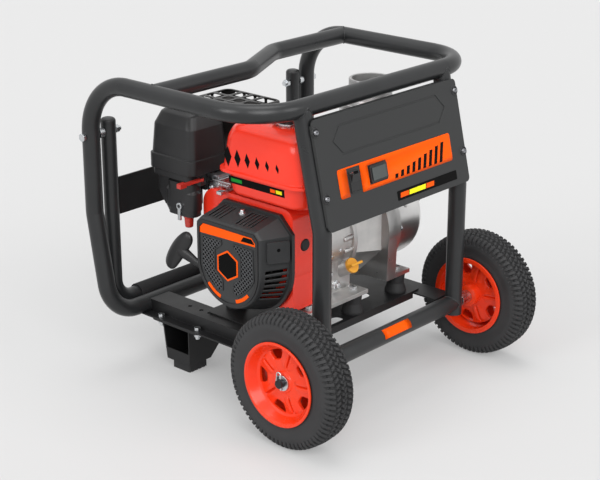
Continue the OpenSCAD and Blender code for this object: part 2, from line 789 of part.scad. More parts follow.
// Engine
module on_barrel() {
    at_crank(barrel_x) rotate([barrel_slope - 90, 0, 0]) children();
}
module crankcase() {
    fin_w = case_front - case_back - 24;
    color(alu_col) from_axle() difference() {
        union() {
            at_crank() along_x(case_back, case_front) {
                circle(case_r);
                translate([-80, foot_z - crank_z]) square([160, crank_z - foot_z]);
            }
            translate([-152, crank_y - 118, foot_z]) cube([case_front + 164, 228, foot_t]);
            on_barrel() translate([0, 0, case_r / 2]) cylinder(d = 78, h = head_from - case_r / 2);
            on_barrel() for (i = [0 : fin_count - 1]) translate([0, 0, barrel_from + (i + 0.5) * fin_pitch])
                linear_extrude(3) rounded(fin_w, 2 * fin_half, 10);
            for (x = [case_back + 14, case_back + 44], y = [-60, 40])
                translate([x, crank_y + y, crank_z + 40])
                cylinder(d = 18, h = tank_z - crank_z - 40);
            translate(dip_spot) rotate([90 - dip_tilt, 0, 0]) cylinder(d = 28, h = dip_l);
        }
        at_crank() rod_x(case_back - 1, case_front + 1, crank_d + 2 * run);
        translate(dip_spot) rotate([90 - dip_tilt, 0, 0]) translate([0, 0, 4])
            cylinder(d = 18 + 2 * run, h = dip_l);
        for (p = mount_spots) translate([p.x, p.y, foot_z - 1]) cylinder(d = 10 + 2 * seat, h = 16);
    }
}
module head_block() {
    fin_w = case_front - case_back - 24;
    on_barrel() translate([0, 0, head_from]) linear_extrude(36) rounded(fin_w, 2 * fin_half, 10);
}
module cylinder_head() {
    fin_w = case_front - case_back - 24;
    color(alu_col) from_axle() {
        difference() {
            head_block();
            on_barrel() for (i = [0 : 2]) translate([0, 0, head_from + 6 + 10 * i]) linear_extrude(5)
                difference() {
                square([200, 200], center = true);
                rounded(fin_w - 22, 2 * fin_half - 22, 8);
            }
        }
        on_barrel() translate([0, 0, head_from + 36]) linear_extrude(16) rounded(fin_w - 24, 70, 12);
    }
}
// Outline of the fan shroud about the crankshaft, drawn in by a wall thickness
module shroud_outline(inset) {
    left = 98 - inset;
    right = 100 - inset;
    top = 113 - inset;
    corner = 24 - inset;
    floor = foot_z + 15 - crank_z + inset;
    intersection() {
        union() {
            circle(right + 2);
            translate([-right, 0]) square([right + left, top - corner]);
            translate([-right + corner, 0]) square([right + left - 2 * corner, top]);
            translate([-right + corner, top - corner]) circle(corner);
            translate([left - corner, top - corner]) circle(corner);
            translate([-right, floor]) square([right, -floor]);
        }
        translate([-200, floor]) square([400, 400]);
    }
}
// Outline of the duct that leads the air on to the cylinder
module duct_outline(inset) {
    out = carb_spot.y + 16 - crank_y - inset;
    top = 113 - inset;
    corner = 34 - inset;
    translate([out - corner, top - corner]) circle(corner);
    polygon([[60, top], [out - corner, top], [out, top - corner], [out, 55],
        [96, 12 + inset], [60, 12 + inset]]);
}
module fan_shroud() {
    color(red_col) from_axle() {
        at_crank() difference() {
            union() {
                along_x(shroud_back, case_back) shroud_outline(0);
                along_x(shroud_back, shroud_back + duct_l) duct_outline(0);
            }
            along_x(shroud_back + cover_wall, shroud_back + duct_l + 1) duct_outline(cover_wall);
            along_x(shroud_back + cover_wall, case_back - cover_wall) shroud_outline(cover_wall);
            rod_x(shroud_back - 1, shroud_back + 30, 150);
            rod_x(case_back - 30, case_back + 1, 140);
        }
        translate(throttle_spot - [0, 0, gap + 1]) cylinder(d = 6, h = 7);
    }
}
// Outline of the starter cover: half round below, chamfered square above
module starter_outline(r, top, chamfer) {
    circle(r, $fn = 40);
    slope = top - chamfer;
    flat = r - chamfer;
    polygon([[-r, 0], [-r, slope], [-flat, top], [flat, top], [r, slope], [r, 0]]);
}
module starter_shell(inset) {
    hull() {
        along_x(shroud_back - 5, shroud_back + (inset > 0 ? 1 : 0))
            translate([-2, -3]) starter_outline(100 - inset, 101 - inset, 30);
        along_x(starter_face + inset, starter_face + inset + 1)
            translate([11, -6]) starter_outline(83 - inset, 83 - inset, 12);
    }
}
module recoil_cover() {
    color("#3a3b3d") from_axle() at_crank() {
        difference() {
            starter_shell(0);
            starter_shell(cover_wall);
            for (y = [-6 : 6], z = [-7 : 4])
                if (norm([y, z]) < 7.6 && abs(y) > 0.5 && !(abs(y) < 4 && z > -4 && z < 3))
                    translate([starter_face + 1, 11 + y * mesh_pitch, -6 + z * mesh_pitch])
                        cube([cover_wall + 4, mesh_hole, mesh_hole], center = true);
            for (y = [-52, -43, -34, -25, -16, 28, 37, 46, 55, 64, 73])
                translate([starter_face + 14, y, 60]) cube([28, 4, 60]);
            for (z = [-62, -50, -38, -26]) translate([starter_face + 14, -110, z]) cube([30, 60, 6]);
            translate([reel_x + 6, 60, rope_z - crank_z]) rod_y(0, 60, 8 + 2 * gap);
        }
        rod_x(starter_face + cover_wall - 1, reel_x + 16, 16);
    }
}
module recoil_reel() {
    deep = 12;
    color(black_col) from_axle() at_crank(reel_x) rotate([0, 90, 0]) difference() {
        rotate_extrude() difference() {
            translate([8 + run, -2]) square([reel_r - 8 - run, deep + 4]);
            translate([reel_r - 8, 1]) square([9, deep - 2]);
        }
        for (i = [0 : 5]) rotate(60 * i) translate([30, 0, -3]) cylinder(d = 18, h = deep + 8);
    }
}
module starter_grip() {
    rope_x = reel_x + 6;
    exit_y = crank_y + 108;
    module lobe(dy, dz, r) {
        translate([rope_x, exit_y + dy, rope_z + dz]) scale([0.6, 1, 1]) sphere(r, $fn = 24);
    }
    color(black_col) from_axle() {
        hull() {
            lobe(38, 53, 10);
            lobe(65, 20, 15);
        }
        hull() {
            lobe(91, -20, 10);
            lobe(65, 20, 15);
        }
        hull() {
            lobe(58, 17, 12);
            translate([rope_x, exit_y + 2, rope_z]) sphere(7, $fn = 24);
        }
        translate([rope_x, exit_y - 30, rope_z]) rod_y(0, 32, 8);
    }
}
module flywheel() {
    color(alu_col) from_axle() at_crank(shroud_back + 16) difference() {
        union() {
            rod_x(8, 38, 2 * flywheel_r);
            rod_x(0, 40, 56);
            for (i = [0 : 11]) rotate([30 * i, 0, 0]) translate([-2, 40, -2])
                cube([11, flywheel_r - 46, 4]);
        }
        rod_x(-9, 60, crank_d + 2 * seat);
        rod_x(26, 60, 2 * flywheel_r - 24);
    }
}
module crankshaft() {
    color(steel_col) from_axle() at_crank() {
        rod_x(shroud_back + 6, plate_x - 4, crank_d);
        rod_x(plate_x - 5, casing_x + 40, crank_d - 6);
        translate([casing_x + 30 + seat, 0, 0]) rotate([0, 90, 0]) hex_head(34, 10);
    }
}
module carburettor() {
    color("#8f9196") from_axle() {
        translate(carb_spot) {
            translate([-20, -16, -18]) cube([40, 32, 36]);
            translate([0, 0, -40]) cylinder(r = 15, h = 24);
            translate([0, 0, -44]) cylinder(r = 6, h = 6);
            rod_y(14, 17, 34);
            translate([-24, -20, 8]) rod_x(0, 48, 9);
        }
        translate([-140, 295, 380]) cube([140 + case_back + 12, 32.5, 34]);
    }
}
module air_cleaner_base() {
    lug = choke_spot.z - gap;
    color(black_col) from_axle() difference() {
        union() {
            translate([cleaner_x, cleaner_y + 4.5, cleaner_z - 14]) linear_extrude(14)
                rounded(cleaner_w - 10, cleaner_l - 18, 14);
            translate([carb_spot.x - 24, carb_spot.y + 17 + gap, carb_spot.z - 18]) cube([48, 44, 26]);
            intersection() {
                translate([-178, cleaner_y + 14, 350]) linear_extrude(cleaner_z - 12 - 350) rounded(56, 84, 16);
                along_x(-220, -140) polygon([[cleaner_y - 40, cleaner_z], [cleaner_y + 57, cleaner_z],
                    [cleaner_y + 52, 382], [cleaner_y + 28, 350], [cleaner_y - 40, 350]]);
            }
            translate([-196, 361.5, 338]) linear_extrude(66) rounded(36, 71, 16);
            translate([choke_spot.x - 7, choke_spot.y - 5, lug - 8]) cube([14, 22, 8]);
            translate([choke_spot.x, choke_spot.y, lug - 1]) cylinder(d = 5, h = 8);
            translate([valve_spot.x, valve_spot.y, valve_spot.z]) rod_x(-5, 14, 6);
        }
        translate(carb_spot) rod_y(0, 48, 24);
    }
}
module air_cleaner_cover() {
    band = 36;
    color(black_col) from_axle() difference() {
        union() {
            intersection() {
                translate([cleaner_x, cleaner_y, cleaner_z]) linear_extrude(cleaner_h)
                    rounded(cleaner_w - 6, cleaner_l - 6, 14);
                along_x(cleaner_x - cleaner_w, cleaner_x + cleaner_w)
                    translate([cleaner_y, cleaner_z + cleaner_h / 2 - 20])
                    rounded(cleaner_l - 6, cleaner_h + 40, 26);
            }
            translate([cleaner_x, cleaner_y, cleaner_z]) linear_extrude(band)
                rounded(cleaner_w, cleaner_l, 15);
            translate([cleaner_x - 4, cleaner_y, cleaner_z + cleaner_h - 6]) linear_extrude(9)
                rounded(44, 58, 21);
        }
        translate([cleaner_x, cleaner_y, cleaner_z - 1]) linear_extrude(cleaner_h - 14)
            rounded(cleaner_w - 14, cleaner_l - 14, 8);
    }
}
module choke_lever() {
    color(red_col) from_axle() translate(choke_spot) difference() {
        union() {
            cylinder(d = 11, h = 5);
            translate([-56, -4, 0]) cube([56, 8, 5]);
            translate([-60, -5.5, -2]) cube([16, 11, 9]);
        }
        translate([0, 0, -3]) cylinder(d = 5 + 2 * run, h = 12);
    }
}
module fuel_valve_lever() {
    color(steel_col) from_axle() translate(valve_spot) difference() {
        union() {
            rod_x(-4, 0, 14);
            translate([-4, -3.5, -28]) cube([4, 7, 28]);
        }
        rod_x(-9, 9, 6 + 2 * run);
    }
}
module throttle_lever() {
    color(steel_col) from_axle() translate(throttle_spot) difference() {
        union() {
            cylinder(d = 14, h = 3);
            translate([-48, -4, 0]) cube([48, 8, 3]);
            translate([-56, -6, 0]) cube([14, 12, 6]);
        }
        translate([0, 0, -1]) cylinder(d = 6 + 2 * run, h = 9);
    }
}
module muffler() {
    body_l = guard_l - 16;
    body_w = guard_w - 16;
    color("#6a6663") from_axle() {
        intersection() {
            translate([guard_x, guard_y, guard_z]) linear_extrude(guard_h - 10) rounded(body_w, body_l, 20);
            along_y(guard_y - body_l, guard_y + body_l) translate([guard_x, guard_z + guard_h / 2 - 5])
                rounded(body_w, guard_h - 10, 22);
        }
        difference() {
            translate([barrel_x, 324, 380]) cylinder(d = 26, h = 70);
            head_block();
        }
    }
}
module muffler_guard() {
    skin = 2;
    color(black_col) from_axle() difference() {
        union() {
            difference() {
                translate([guard_x, guard_y, guard_z]) linear_extrude(guard_h)
                    rounded(guard_w, guard_l, 16);
                translate([guard_x, guard_y, guard_z - 1]) linear_extrude(guard_h + 1 - skin)
                    rounded(guard_w - 2 * skin, guard_l - 2 * skin, 14);
            }
            for (x = [-1, 1], y = [-1, 1])
                translate([guard_x + x * 24, guard_y + y * 40, guard_z + guard_h - 10])
                cylinder(d = 10, h = 9);
        }
        for (x = [-2 : 2], y = [-3 : 3])
            translate([guard_x + x * 22, guard_y + y * 21, guard_z + guard_h - 5])
            if (abs(x) != 1 || abs(y) != 2) linear_extrude(8) rounded(15, 13, 5);
    }
}
module tank_half(z0, z1, low, high) {
    hull() {
        translate([tank_x, tank_y, z0]) linear_extrude(1)
            rounded(tank_w - 2 * low, tank_l - 2 * low, 34, $fn = 32);
        translate([tank_x, tank_y, z1 - 1]) linear_extrude(1)
            rounded(tank_w - 2 * high, tank_l - 2 * high, 30, $fn = 32);
    }
}
module fuel_tank() {
    color(red_col) from_axle() difference() {
        union() {
            tank_half(tank_z, tank_rim_z, 18, 13);
            translate([tank_x, tank_y, tank_rim_z - 3]) linear_extrude(6) rounded(tank_w, tank_l, 36);
            tank_half(tank_rim_z, tank_top - 26, 5, 12);
            tank_half(tank_top - 27, tank_top, 12, 38);
            translate([tank_x, cap_y, tank_top - 1]) cylinder(r = 26, h = 7);
        }
        translate([tank_x, cap_y, tank_top - 16]) cylinder(r = 18 + run, h = 40);
    }
}
module fuel_cap() {
    color(black_col) from_axle() translate([tank_x, cap_y, tank_top + 6 + gap]) {
        linear_extrude(20) difference() {
            circle(cap_r);
            for (i = [0 : 11]) rotate(30 * i) translate([cap_r + 3, 0]) circle(5);
        }
        translate([0, 0, -18]) cylinder(r = 18, h = 19);
    }
}
module oil_dipstick() {
    color("#e0a020") from_axle() translate(dip_spot) rotate([90 - dip_tilt, 0, 0]) {
        translate([0, 0, 6]) cylinder(d = 18, h = dip_l - 4);
        translate([0, 0, dip_l + gap]) cylinder(d = 30, h = 6);
        translate([-16, -2.5, dip_l + 5]) cube([32, 5, 14]);
    }
}

// Pump
module pump_bell() {
    color(alu_col) from_axle() at_crank() difference() {
        union() {
            translate([case_front, 0, 0]) rotate([0, 90, 0]) rotate(22.5)
                cylinder(r1 = 74, r2 = 100, h = plate_x - case_front, $fn = 8);
            rod_x(case_front, case_front + 10, 2 * bell_bolt_r + 18);
        }
        translate([case_front - 1, 0, 0]) rotate([0, 90, 0]) rotate(22.5)
            cylinder(r1 = 60, r2 = 90, h = plate_x - case_front + 2, $fn = 8);
        translate([case_front - 1, 0, 0]) rotate([0, 90, 0]) ring_of(4, bell_bolt_r)
            cylinder(d = 8 + 2 * seat, h = 20);
    }
}
module pump_backplate() {
    foot = foot_z - crank_z;
    color(alu_col) from_axle() at_crank() difference() {
        union() {
            along_x(plate_x, casing_x) {
                circle(plate_r);
                for (s = [-1, 1])
                    polygon([[0, foot], [s * 108, foot], [s * 108, foot + 14],
                        [s * (plate_r - 1), -16], [0, -16]]);
            }
            for (s = [-1, 1]) translate([plate_x, s * 88 - 20, foot]) cube([plate_t + 46, 40, foot_t]);
        }
        for (p = pump_spots) translate([p.x, p.y - crank_y, foot - 1]) cylinder(d = 10 + 2 * seat, h = 20);
        rod_x(plate_x - 1, casing_x + 1, 40 + 2 * seat);
        translate([plate_x + 12, 0, 0]) rotate([0, 90, 0]) ring_of(6, plate_r - 8)
            cylinder(d = 8 + 2 * seat, h = plate_t);
    }
}
module pump_casing() {
    skin = casing_r - casing_wall;
    color(alu_col) from_axle() difference() {
        union() {
            at_crank() rotate([0, 90, 0]) rotate_extrude($fn = 96) {
                translate([0, casing_x]) square([casing_r, casing_l - casing_round]);
                translate([0, casing_x]) square([plate_r - 1, 12]);
                translate([0, casing_end - casing_round - 1])
                    square([casing_r - casing_round, casing_round + 1]);
                translate([casing_r - casing_round, casing_end - casing_round]) circle(casing_round);
            }
            at_crank() translate([0, 0, suction_up]) rod_x(casing_end - casing_round, pad_x, 124);
            translate([port_x, crank_y, crank_z]) cylinder(d = port_d + 8, h = discharge_up - 1);
            translate([port_x, crank_y, discharge_z - 14]) cylinder(d = 124, h = 14);
            translate([prime_spot.x, prime_spot.y, crank_z + 20])
                cylinder(d = 36, h = prime_spot.z - crank_z - 20);
        }
        difference() {
            at_crank() rod_x(casing_x - 1, casing_end - casing_wall, 2 * skin);
            at_crank(flap_x) translate([0, 0, suction_up + flap_pin]) {
                rod_y(-21, 21, 5);
                for (s = [-1, 1]) translate([-5, s * 17.5 - 3.5, -4]) cube([20, 7, 12]);
            }
        }
        at_crank() translate([0, 0, suction_up]) rod_x(casing_end - 30, pad_x + 1, port_d);
        translate([port_x, crank_y, crank_z]) cylinder(d = port_d, h = discharge_up + 1);
        translate([prime_spot.x, prime_spot.y, crank_z + 20]) cylinder(d = 24 + 2 * run, h = 100);
        at_crank(casing_x - 1) rotate([0, 90, 0]) ring_of(6, plate_r - 8)
            cylinder(d = 8 + 2 * seat, h = 30);
        at_crank(pad_x - 12) translate([0, 0, suction_up]) rotate([0, 90, 0]) ring_of(4, 53)
            cylinder(d = 8 + 2 * seat, h = 30);
        translate([port_x, crank_y, discharge_z - 10]) ring_of(4, 53) cylinder(d = 8 + 2 * seat, h = 30);
    }
}
module port_flange() {
    difference() {
        union() {
            cylinder(d = 124, h = 12);
            cylinder(d = spigot_d, h = 12 + spigot_l);
        }
        translate([0, 0, -1]) cylinder(d = port_d, h = 14 + spigot_l);
        translate([0, 0, -1]) ring_of(4, 53) cylinder(d = 8 + 2 * seat, h = 20);
    }
}
module suction_flange() {
    color(alu_col) from_axle() at_crank(pad_x) translate([0, 0, suction_up]) rotate([0, 90, 0])
        port_flange();
}
module discharge_flange() {
    color(alu_col) from_axle() translate([port_x, crank_y, discharge_z]) port_flange();
}
module volute_insert() {
    color("#8a8c8f") from_axle() at_crank() along_x(casing_x, casing_x + 34) difference() {
        circle(casing_r - casing_wall - 4);
        translate([-3, -3]) circle(impeller_r + 8);
        translate([20, 30]) square([40, 80]);
    }
}
module impeller() {
    color("#77797c") from_axle() at_crank(casing_x + 4) difference() {
        union() {
            rod_x(0, 5, 2 * impeller_r);
            rod_x(0, 26, 44);
            along_x(4, 24) for (i = [0 : vane_count - 1]) rotate(360 / vane_count * i) intersection() {
                translate([0, 34]) difference() {
                    circle(38);
                    circle(34);
                }
                translate([6, -10]) square([impeller_r, 120]);
                circle(impeller_r - 1.5);
            }
        }
        rod_x(-1, 30, crank_d - 6 + 2 * seat);
    }
}
module shaft_seal() {
    color("#5a5450") from_axle() at_crank() difference() {
        rod_x(plate_x + 4, casing_x + 2, 40);
        rod_x(plate_x, casing_x + 4, crank_d - 6 + 2 * run);
    }
}
module check_valve() {
    color(rubber_col) from_axle() at_crank(flap_x) translate([0, 0, suction_up]) difference() {
        union() {
            rod_x(0, 6, port_d + 8);
            translate([0, -13, 0]) cube([6, 26, flap_pin]);
            translate([0, 0, flap_pin]) rod_y(-13, 13, 11);
        }
        translate([0, 0, flap_pin]) rod_y(-20, 20, 5 + 2 * run);
    }
}
module priming_plug() {
    color(black_col) from_axle() translate(prime_spot) {
        translate([0, 0, -30]) cylinder(d = 24, h = 31);
        translate([0, 0, gap]) cylinder(d = 38, h = 8);
        translate([-20, -4, 7]) cube([40, 8, 16]);
    }
}
module cap_bolt(d, l) {
    hex_head(d * 1.7, d * 0.7);
    translate([0, 0, -l]) cylinder(d = d, h = l + 1);
}
module pump_bolts() {
    color(steel_col) from_axle() {
        at_crank(casing_x + 12) rotate([0, 90, 0]) ring_of(6, plate_r - 8) cap_bolt(8, 18);
        at_crank(pad_x + 12) translate([0, 0, suction_up]) rotate([0, 90, 0]) ring_of(4, 53)
            cap_bolt(8, 20);
        translate([port_x, crank_y, discharge_z + 12]) ring_of(4, 53) cap_bolt(8, 20);
        at_crank(case_front + 10) rotate([0, 90, 0]) ring_of(4, bell_bolt_r) cap_bolt(8, 10);
    }
}

main_hoop();
cross_tube();
upright_left();
upright_right();
axle_tube();
axle_shaft();
wheel_retainers();
base_rail_left();
base_rail_right();
engine_bed();
leg_brackets();
rubber_feet();
base_bolts();

control_panel();
panel_screws();
rocker_switch();
hour_meter();
tyre_left();
rim_left();
hub_bush_left();
tyre_right();
rim_right();
hub_bush_right();
handle_tube();
handle_plate();
handle_grip();
handle_caps();
handle_pivots();
crankcase();
cylinder_head();
fan_shroud();
recoil_cover();
recoil_reel();
starter_grip();
flywheel();
crankshaft();
carburettor();
air_cleaner_base();
air_cleaner_cover();
choke_lever();
fuel_valve_lever();
throttle_lever();
muffler();
muffler_guard();
fuel_tank();
fuel_cap();
oil_dipstick();
engine_mounts();
pump_bell();
pump_backplate();
pump_casing();
volute_insert();
impeller();
shaft_seal();
suction_flange();
discharge_flange();
check_valve();
priming_plug();
pump_bolts();
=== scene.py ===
import bpy
import bmesh
import numpy as np
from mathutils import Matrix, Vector


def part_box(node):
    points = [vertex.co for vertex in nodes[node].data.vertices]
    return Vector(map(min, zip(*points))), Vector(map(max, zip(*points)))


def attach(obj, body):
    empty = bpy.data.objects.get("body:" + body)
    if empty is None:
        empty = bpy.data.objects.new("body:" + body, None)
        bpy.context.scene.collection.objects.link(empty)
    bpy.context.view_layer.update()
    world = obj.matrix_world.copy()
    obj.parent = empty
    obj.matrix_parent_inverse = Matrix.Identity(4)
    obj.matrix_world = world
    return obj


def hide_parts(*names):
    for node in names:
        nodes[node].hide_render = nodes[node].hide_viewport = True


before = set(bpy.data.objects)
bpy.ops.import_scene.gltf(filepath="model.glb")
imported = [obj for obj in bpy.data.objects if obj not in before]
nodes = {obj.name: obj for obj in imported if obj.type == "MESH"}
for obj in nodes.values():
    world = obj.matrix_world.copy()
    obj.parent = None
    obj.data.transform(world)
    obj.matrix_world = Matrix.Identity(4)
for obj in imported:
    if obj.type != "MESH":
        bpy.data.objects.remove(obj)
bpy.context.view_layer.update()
print("frame loaded,", len(nodes), "nodes")

# the drawing counts y from the wheel axle and z from a level below it, in millimetres
axleLevel = 127
wheelMiddle = sum(np.array(corner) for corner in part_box("tyre_left")) * 500
drawingZero = np.array([0, wheelMiddle[1], wheelMiddle[2] - axleLevel])


def toRow(points):
    # millimetres of the drawing become metres in the row frame
    return (np.asarray(points, float) + drawingZero) / 1000


cameraSetup = {
    "at": (-2121.1, -1677.1, 1297.4),
    "lookAt": (5.3, 241.5, 256.3),
    "lens": 90.75,
}
camera = bpy.data.objects.new("camera", bpy.data.cameras.new("camera"))
bpy.context.scene.collection.objects.link(camera)
camera.location = toRow(cameraSetup["at"])
aim = Vector(toRow(cameraSetup["lookAt"])) - camera.location
camera.rotation_euler = aim.to_track_quat("-Z", "Y").to_euler()
camera.data.lens = cameraSetup["lens"]
bpy.context.scene.camera = camera
bpy.context.scene.view_settings.view_transform = "Standard"
print("camera set")


# finishes

def hexTone(code):
    # sRGB hex value to linear colour
    part = np.array([int(code[i:i + 2], 16) for i in (1, 3, 5)]) / 255
    linear = np.where(part <= 0.04045, part / 12.92, ((part + 0.055) / 1.055) ** 2.4)
    return (*linear.tolist(), 1.0)


def addNode(tree, kind, sockets=None, **settings):
    # one node with its settings; a socket gets a value, or a link where another socket is given
    made = tree.nodes.new(kind)
    for key, value in settings.items():
        setattr(made, key, value)
    for key, value in (sockets or {}).items():
        if isinstance(value, bpy.types.NodeSocket):
            tree.links.new(value, made.inputs[key])
        else:
            made.inputs[key].default_value = value
    return made


edgeRound = 1.2
cloudShape = {"Detail": 5.0, "Roughness": 0.62}
cloudRange = {"From Min": 0.3, "From Max": 0.7}


def makeFinish(name, tones, rough, patch, grain, height, shader=None, cells=False):
    # two tones drift over patches, roughness drifts with them, and a grain of that size lifts the surface;
    # patch, grain and height are millimetres; edges are shaded as if rounded
    finish = bpy.data.materials.new(name)
    finish.use_nodes = True
    tree = finish.node_tree
    gloss = tree.nodes["Principled BSDF"]
    for key, value in (shader or {}).items():
        gloss.inputs[key].default_value = value
    place = addNode(tree, "ShaderNodeTexCoord").outputs["Object"]
    cloud = addNode(tree, "ShaderNodeTexNoise", {"Vector": place, "Scale": 1000 / patch, **cloudShape})
    drift = addNode(tree, "ShaderNodeMapRange", {"Value": cloud.outputs[0], **cloudRange})
    tone = addNode(tree, "ShaderNodeMix", {0: drift.outputs[0], 6: hexTone(tones[0]), 7: hexTone(tones[1])},
                   data_type="RGBA")
    shine = addNode(tree, "ShaderNodeMapRange",
                    {"Value": cloud.outputs[0], **cloudRange, "To Min": rough[0], "To Max": rough[1]})
    kind = "ShaderNodeTexVoronoi" if cells else "ShaderNodeTexNoise"
    pits = addNode(tree, kind, {"Vector": place, "Scale": 1000 / grain})
    edge = addNode(tree, "ShaderNodeBevel", {"Radius": edgeRound / 1000})
    lift = addNode(tree, "ShaderNodeBump", {"Height": pits.outputs[0], "Distance": height / 1000,
                                            "Normal": edge.outputs[0]})
    tree.links.new(tone.outputs[2], gloss.inputs["Base Color"])
    tree.links.new(shine.outputs[0], gloss.inputs["Roughness"])
    tree.links.new(lift.outputs[0], gloss.inputs["Normal"])
    return finish


# powder-coated steel: satin charcoal with a faint orange peel, drawn at 4 mm so that it shows
charcoalPowder = makeFinish("charcoalPowderCoat", ("#222324", "#28292a"), (0.27, 0.36), 120, 4, 0.05,
                            {"IOR": 1.5, "Specular IOR Level": 0.4})
# powder-coated sheet: the same coat in near black, a little flatter
blackPowder = makeFinish("blackPowderCoat", ("#131314", "#1a1a1b"), (0.38, 0.5), 90, 4, 0.06,
                         {"IOR": 1.5, "Specular IOR Level": 0.35})
# moulded ABS: dark grey with a spark-eroded grain, drawn at 2.5 mm
panelPlastic = makeFinish("charcoalMouldedAbs", ("#242526", "#282929"), (0.48, 0.58), 150, 2.5, 0.05,
                          {"IOR": 1.53, "Specular IOR Level": 0.4}, cells=True)
# moulded polypropylene: black, slightly greasy gloss, fine grain
blackPlastic = makeFinish("blackMouldedPolypropylene", ("#1f1f20", "#262627"), (0.34, 0.46), 70, 2.5, 0.05,
                          {"IOR": 1.49, "Specular IOR Level": 0.4}, cells=True)
# the same moulding in dark grey, and paler with less shine for the grille bars
greyPlastic = makeFinish("greyMouldedPolypropylene", ("#2a2b2c", "#303132"), (0.4, 0.5), 70, 2.5, 0.05,
                         {"IOR": 1.49, "Specular IOR Level": 0.4}, cells=True)
grilleGrey = makeFinish("paleMouldedPolypropylene", ("#47484a", "#505153"), (0.45, 0.55), 70, 2.5, 0.03,
                        {"IOR": 1.49, "Specular IOR Level": 0.2})
# stove enamel on pressed steel: deep even gloss under a clear coat
coralEnamel = makeFinish("coralStoveEnamel", ("#f0321d", "#f63b25"), (0.2, 0.27), 160, 9, 0.03,
                         {"IOR": 1.5, "Specular IOR Level": 0.32, "Coat Weight": 0.2, "Coat Roughness": 0.06})
orangeEnamel = makeFinish("orangeWheelEnamel", ("#e83510", "#f03e15"), (0.24, 0.31), 90, 6, 0.04,
                          {"IOR": 1.5, "Specular IOR Level": 0.32, "Coat Weight": 0.2,
                           "Coat Roughness": 0.08})
# injection-moulded nylon: dark red lever and yellow filler wing, even and half gloss
redNylon = makeFinish("redMouldedNylon", ("#b52a20", "#c03429"), (0.3, 0.4), 30, 2, 0.03, {"IOR": 1.53})
yellowNylon = makeFinish("yellowMouldedNylon", ("#dd9a1c", "#e8a627"), (0.32, 0.42), 25, 2, 0.03,
                         {"IOR": 1.53})
# vulcanised tyre rubber: dull, bloomed grey in patches, faint mould grit
tyreRubber = makeFinish("vulcanisedTyreRubber", ("#2c2c2d", "#363637"), (0.66, 0.8), 45, 2, 0.1,
                        {"IOR": 1.52, "Specular IOR Level": 0.35})
softRubber = makeFinish("mouldedSoftRubber", ("#1d1d1e", "#272728"), (0.6, 0.75), 35, 2.5, 0.12,
                        {"IOR": 1.52, "Specular IOR Level": 0.4})
# foamed grip sleeve: closed cells, drawn at 3 mm, no shine
gripFoam = makeFinish("closedCellGripFoam", ("#232324", "#2b2b2c"), (0.78, 0.9), 40, 3, 0.35,
                      {"IOR": 1.45, "Specular IOR Level": 0.25}, cells=True)
bareMetal = {"Metallic": 1.0}
# bright zinc plate: bluish silver with a soft mottled shine
brightZinc = makeFinish("brightZincPlate", ("#c3c7cb", "#dcdedf"), (0.22, 0.34), 9, 1.5, 0.02, bareMetal)
# as-cast aluminium: pale dull metal with a sandy skin, drawn at 3 mm
castAlloy = makeFinish("sandCastAluminium", ("#bdbcbb", "#cfcdcb"), (0.36, 0.48), 28, 3, 0.12, bareMetal)
# die-cast carburettor body: brighter and smoother
dieCast = makeFinish("dieCastZincAlloy", ("#b2b5b8", "#cfd1d3"), (0.24, 0.36), 14, 2, 0.05, bareMetal)
# grey iron castings: flywheel, and the pump's inner parts
greyIron = makeFinish("greyCastIron", ("#5d5c5b", "#6c6a68"), (0.5, 0.65), 20, 3, 0.25, bareMetal)
# ground steel, oiled
dullSteel = makeFinish("oiledGroundSteel", ("#85868a", "#999a9d"), (0.28, 0.4), 12, 1.5, 0.02, bareMetal)
# blackened axle steel, dark and half dull
blackedSteel = makeFinish("blackenedAxleSteel", ("#38383a", "#454547"), (0.36, 0.48), 12, 1.5, 0.03,
                          bareMetal)
# heat-resistant paint on the exhaust: dead matt with brownish burnt patches
exhaustBlack = makeFinish("heatProofBlackPaint", ("#1d1b1a", "#2b2623"), (0.62, 0.8), 45, 3, 0.15,
                          {"IOR": 1.5})
# its guard: the same black, newer and half gloss
guardBlack = makeFinish("halfGlossHeatPaint", ("#171616", "#211f1e"), (0.3, 0.42), 40, 3, 0.08, {"IOR": 1.5})
# printed polyester film: flat bright ink under a satin laminate
inkFilm = {"IOR": 1.57, "Specular IOR Level": 0.1}
orangeFilm = makeFinish("orangePrintedFilm", ("#fa5700", "#ff5e00"), (0.42, 0.5), 110, 5, 0.015, inkFilm)
yellowFilm = makeFinish("yellowPrintedFilm", ("#f2ea1e", "#f8f127"), (0.42, 0.5), 60, 5, 0.015, inkFilm)
greenFilm = makeFinish("greenPrintedFilm", ("#12862c", "#1a9236"), (0.42, 0.5), 60, 5, 0.015, inkFilm)
# black film: print on the tank, cover and panel, and also painted shade behind the starter grille and on the
# lug
blackPrintAndShadeFilm = makeFinish("blackPrintAndPaintedShadeFilm", ("#040404", "#070707"), (0.5, 0.58), 60, 5, 0.015,
                       {"IOR": 1.57, "Specular IOR Level": 0.06})
# tinted polycarbonate over a grey display
meterGlass = makeFinish("tintedPolycarbonate", ("#3a3f3f", "#454a49"), (0.1, 0.16), 40, 8, 0.01,
                        {"IOR": 1.58})
# clear red polyamide of the fuel filter: deep gloss
filterRed = makeFinish("clearRedPolyamide", ("#a8281c", "#b83023"), (0.12, 0.18), 30, 4, 0.02, {"IOR": 1.53})


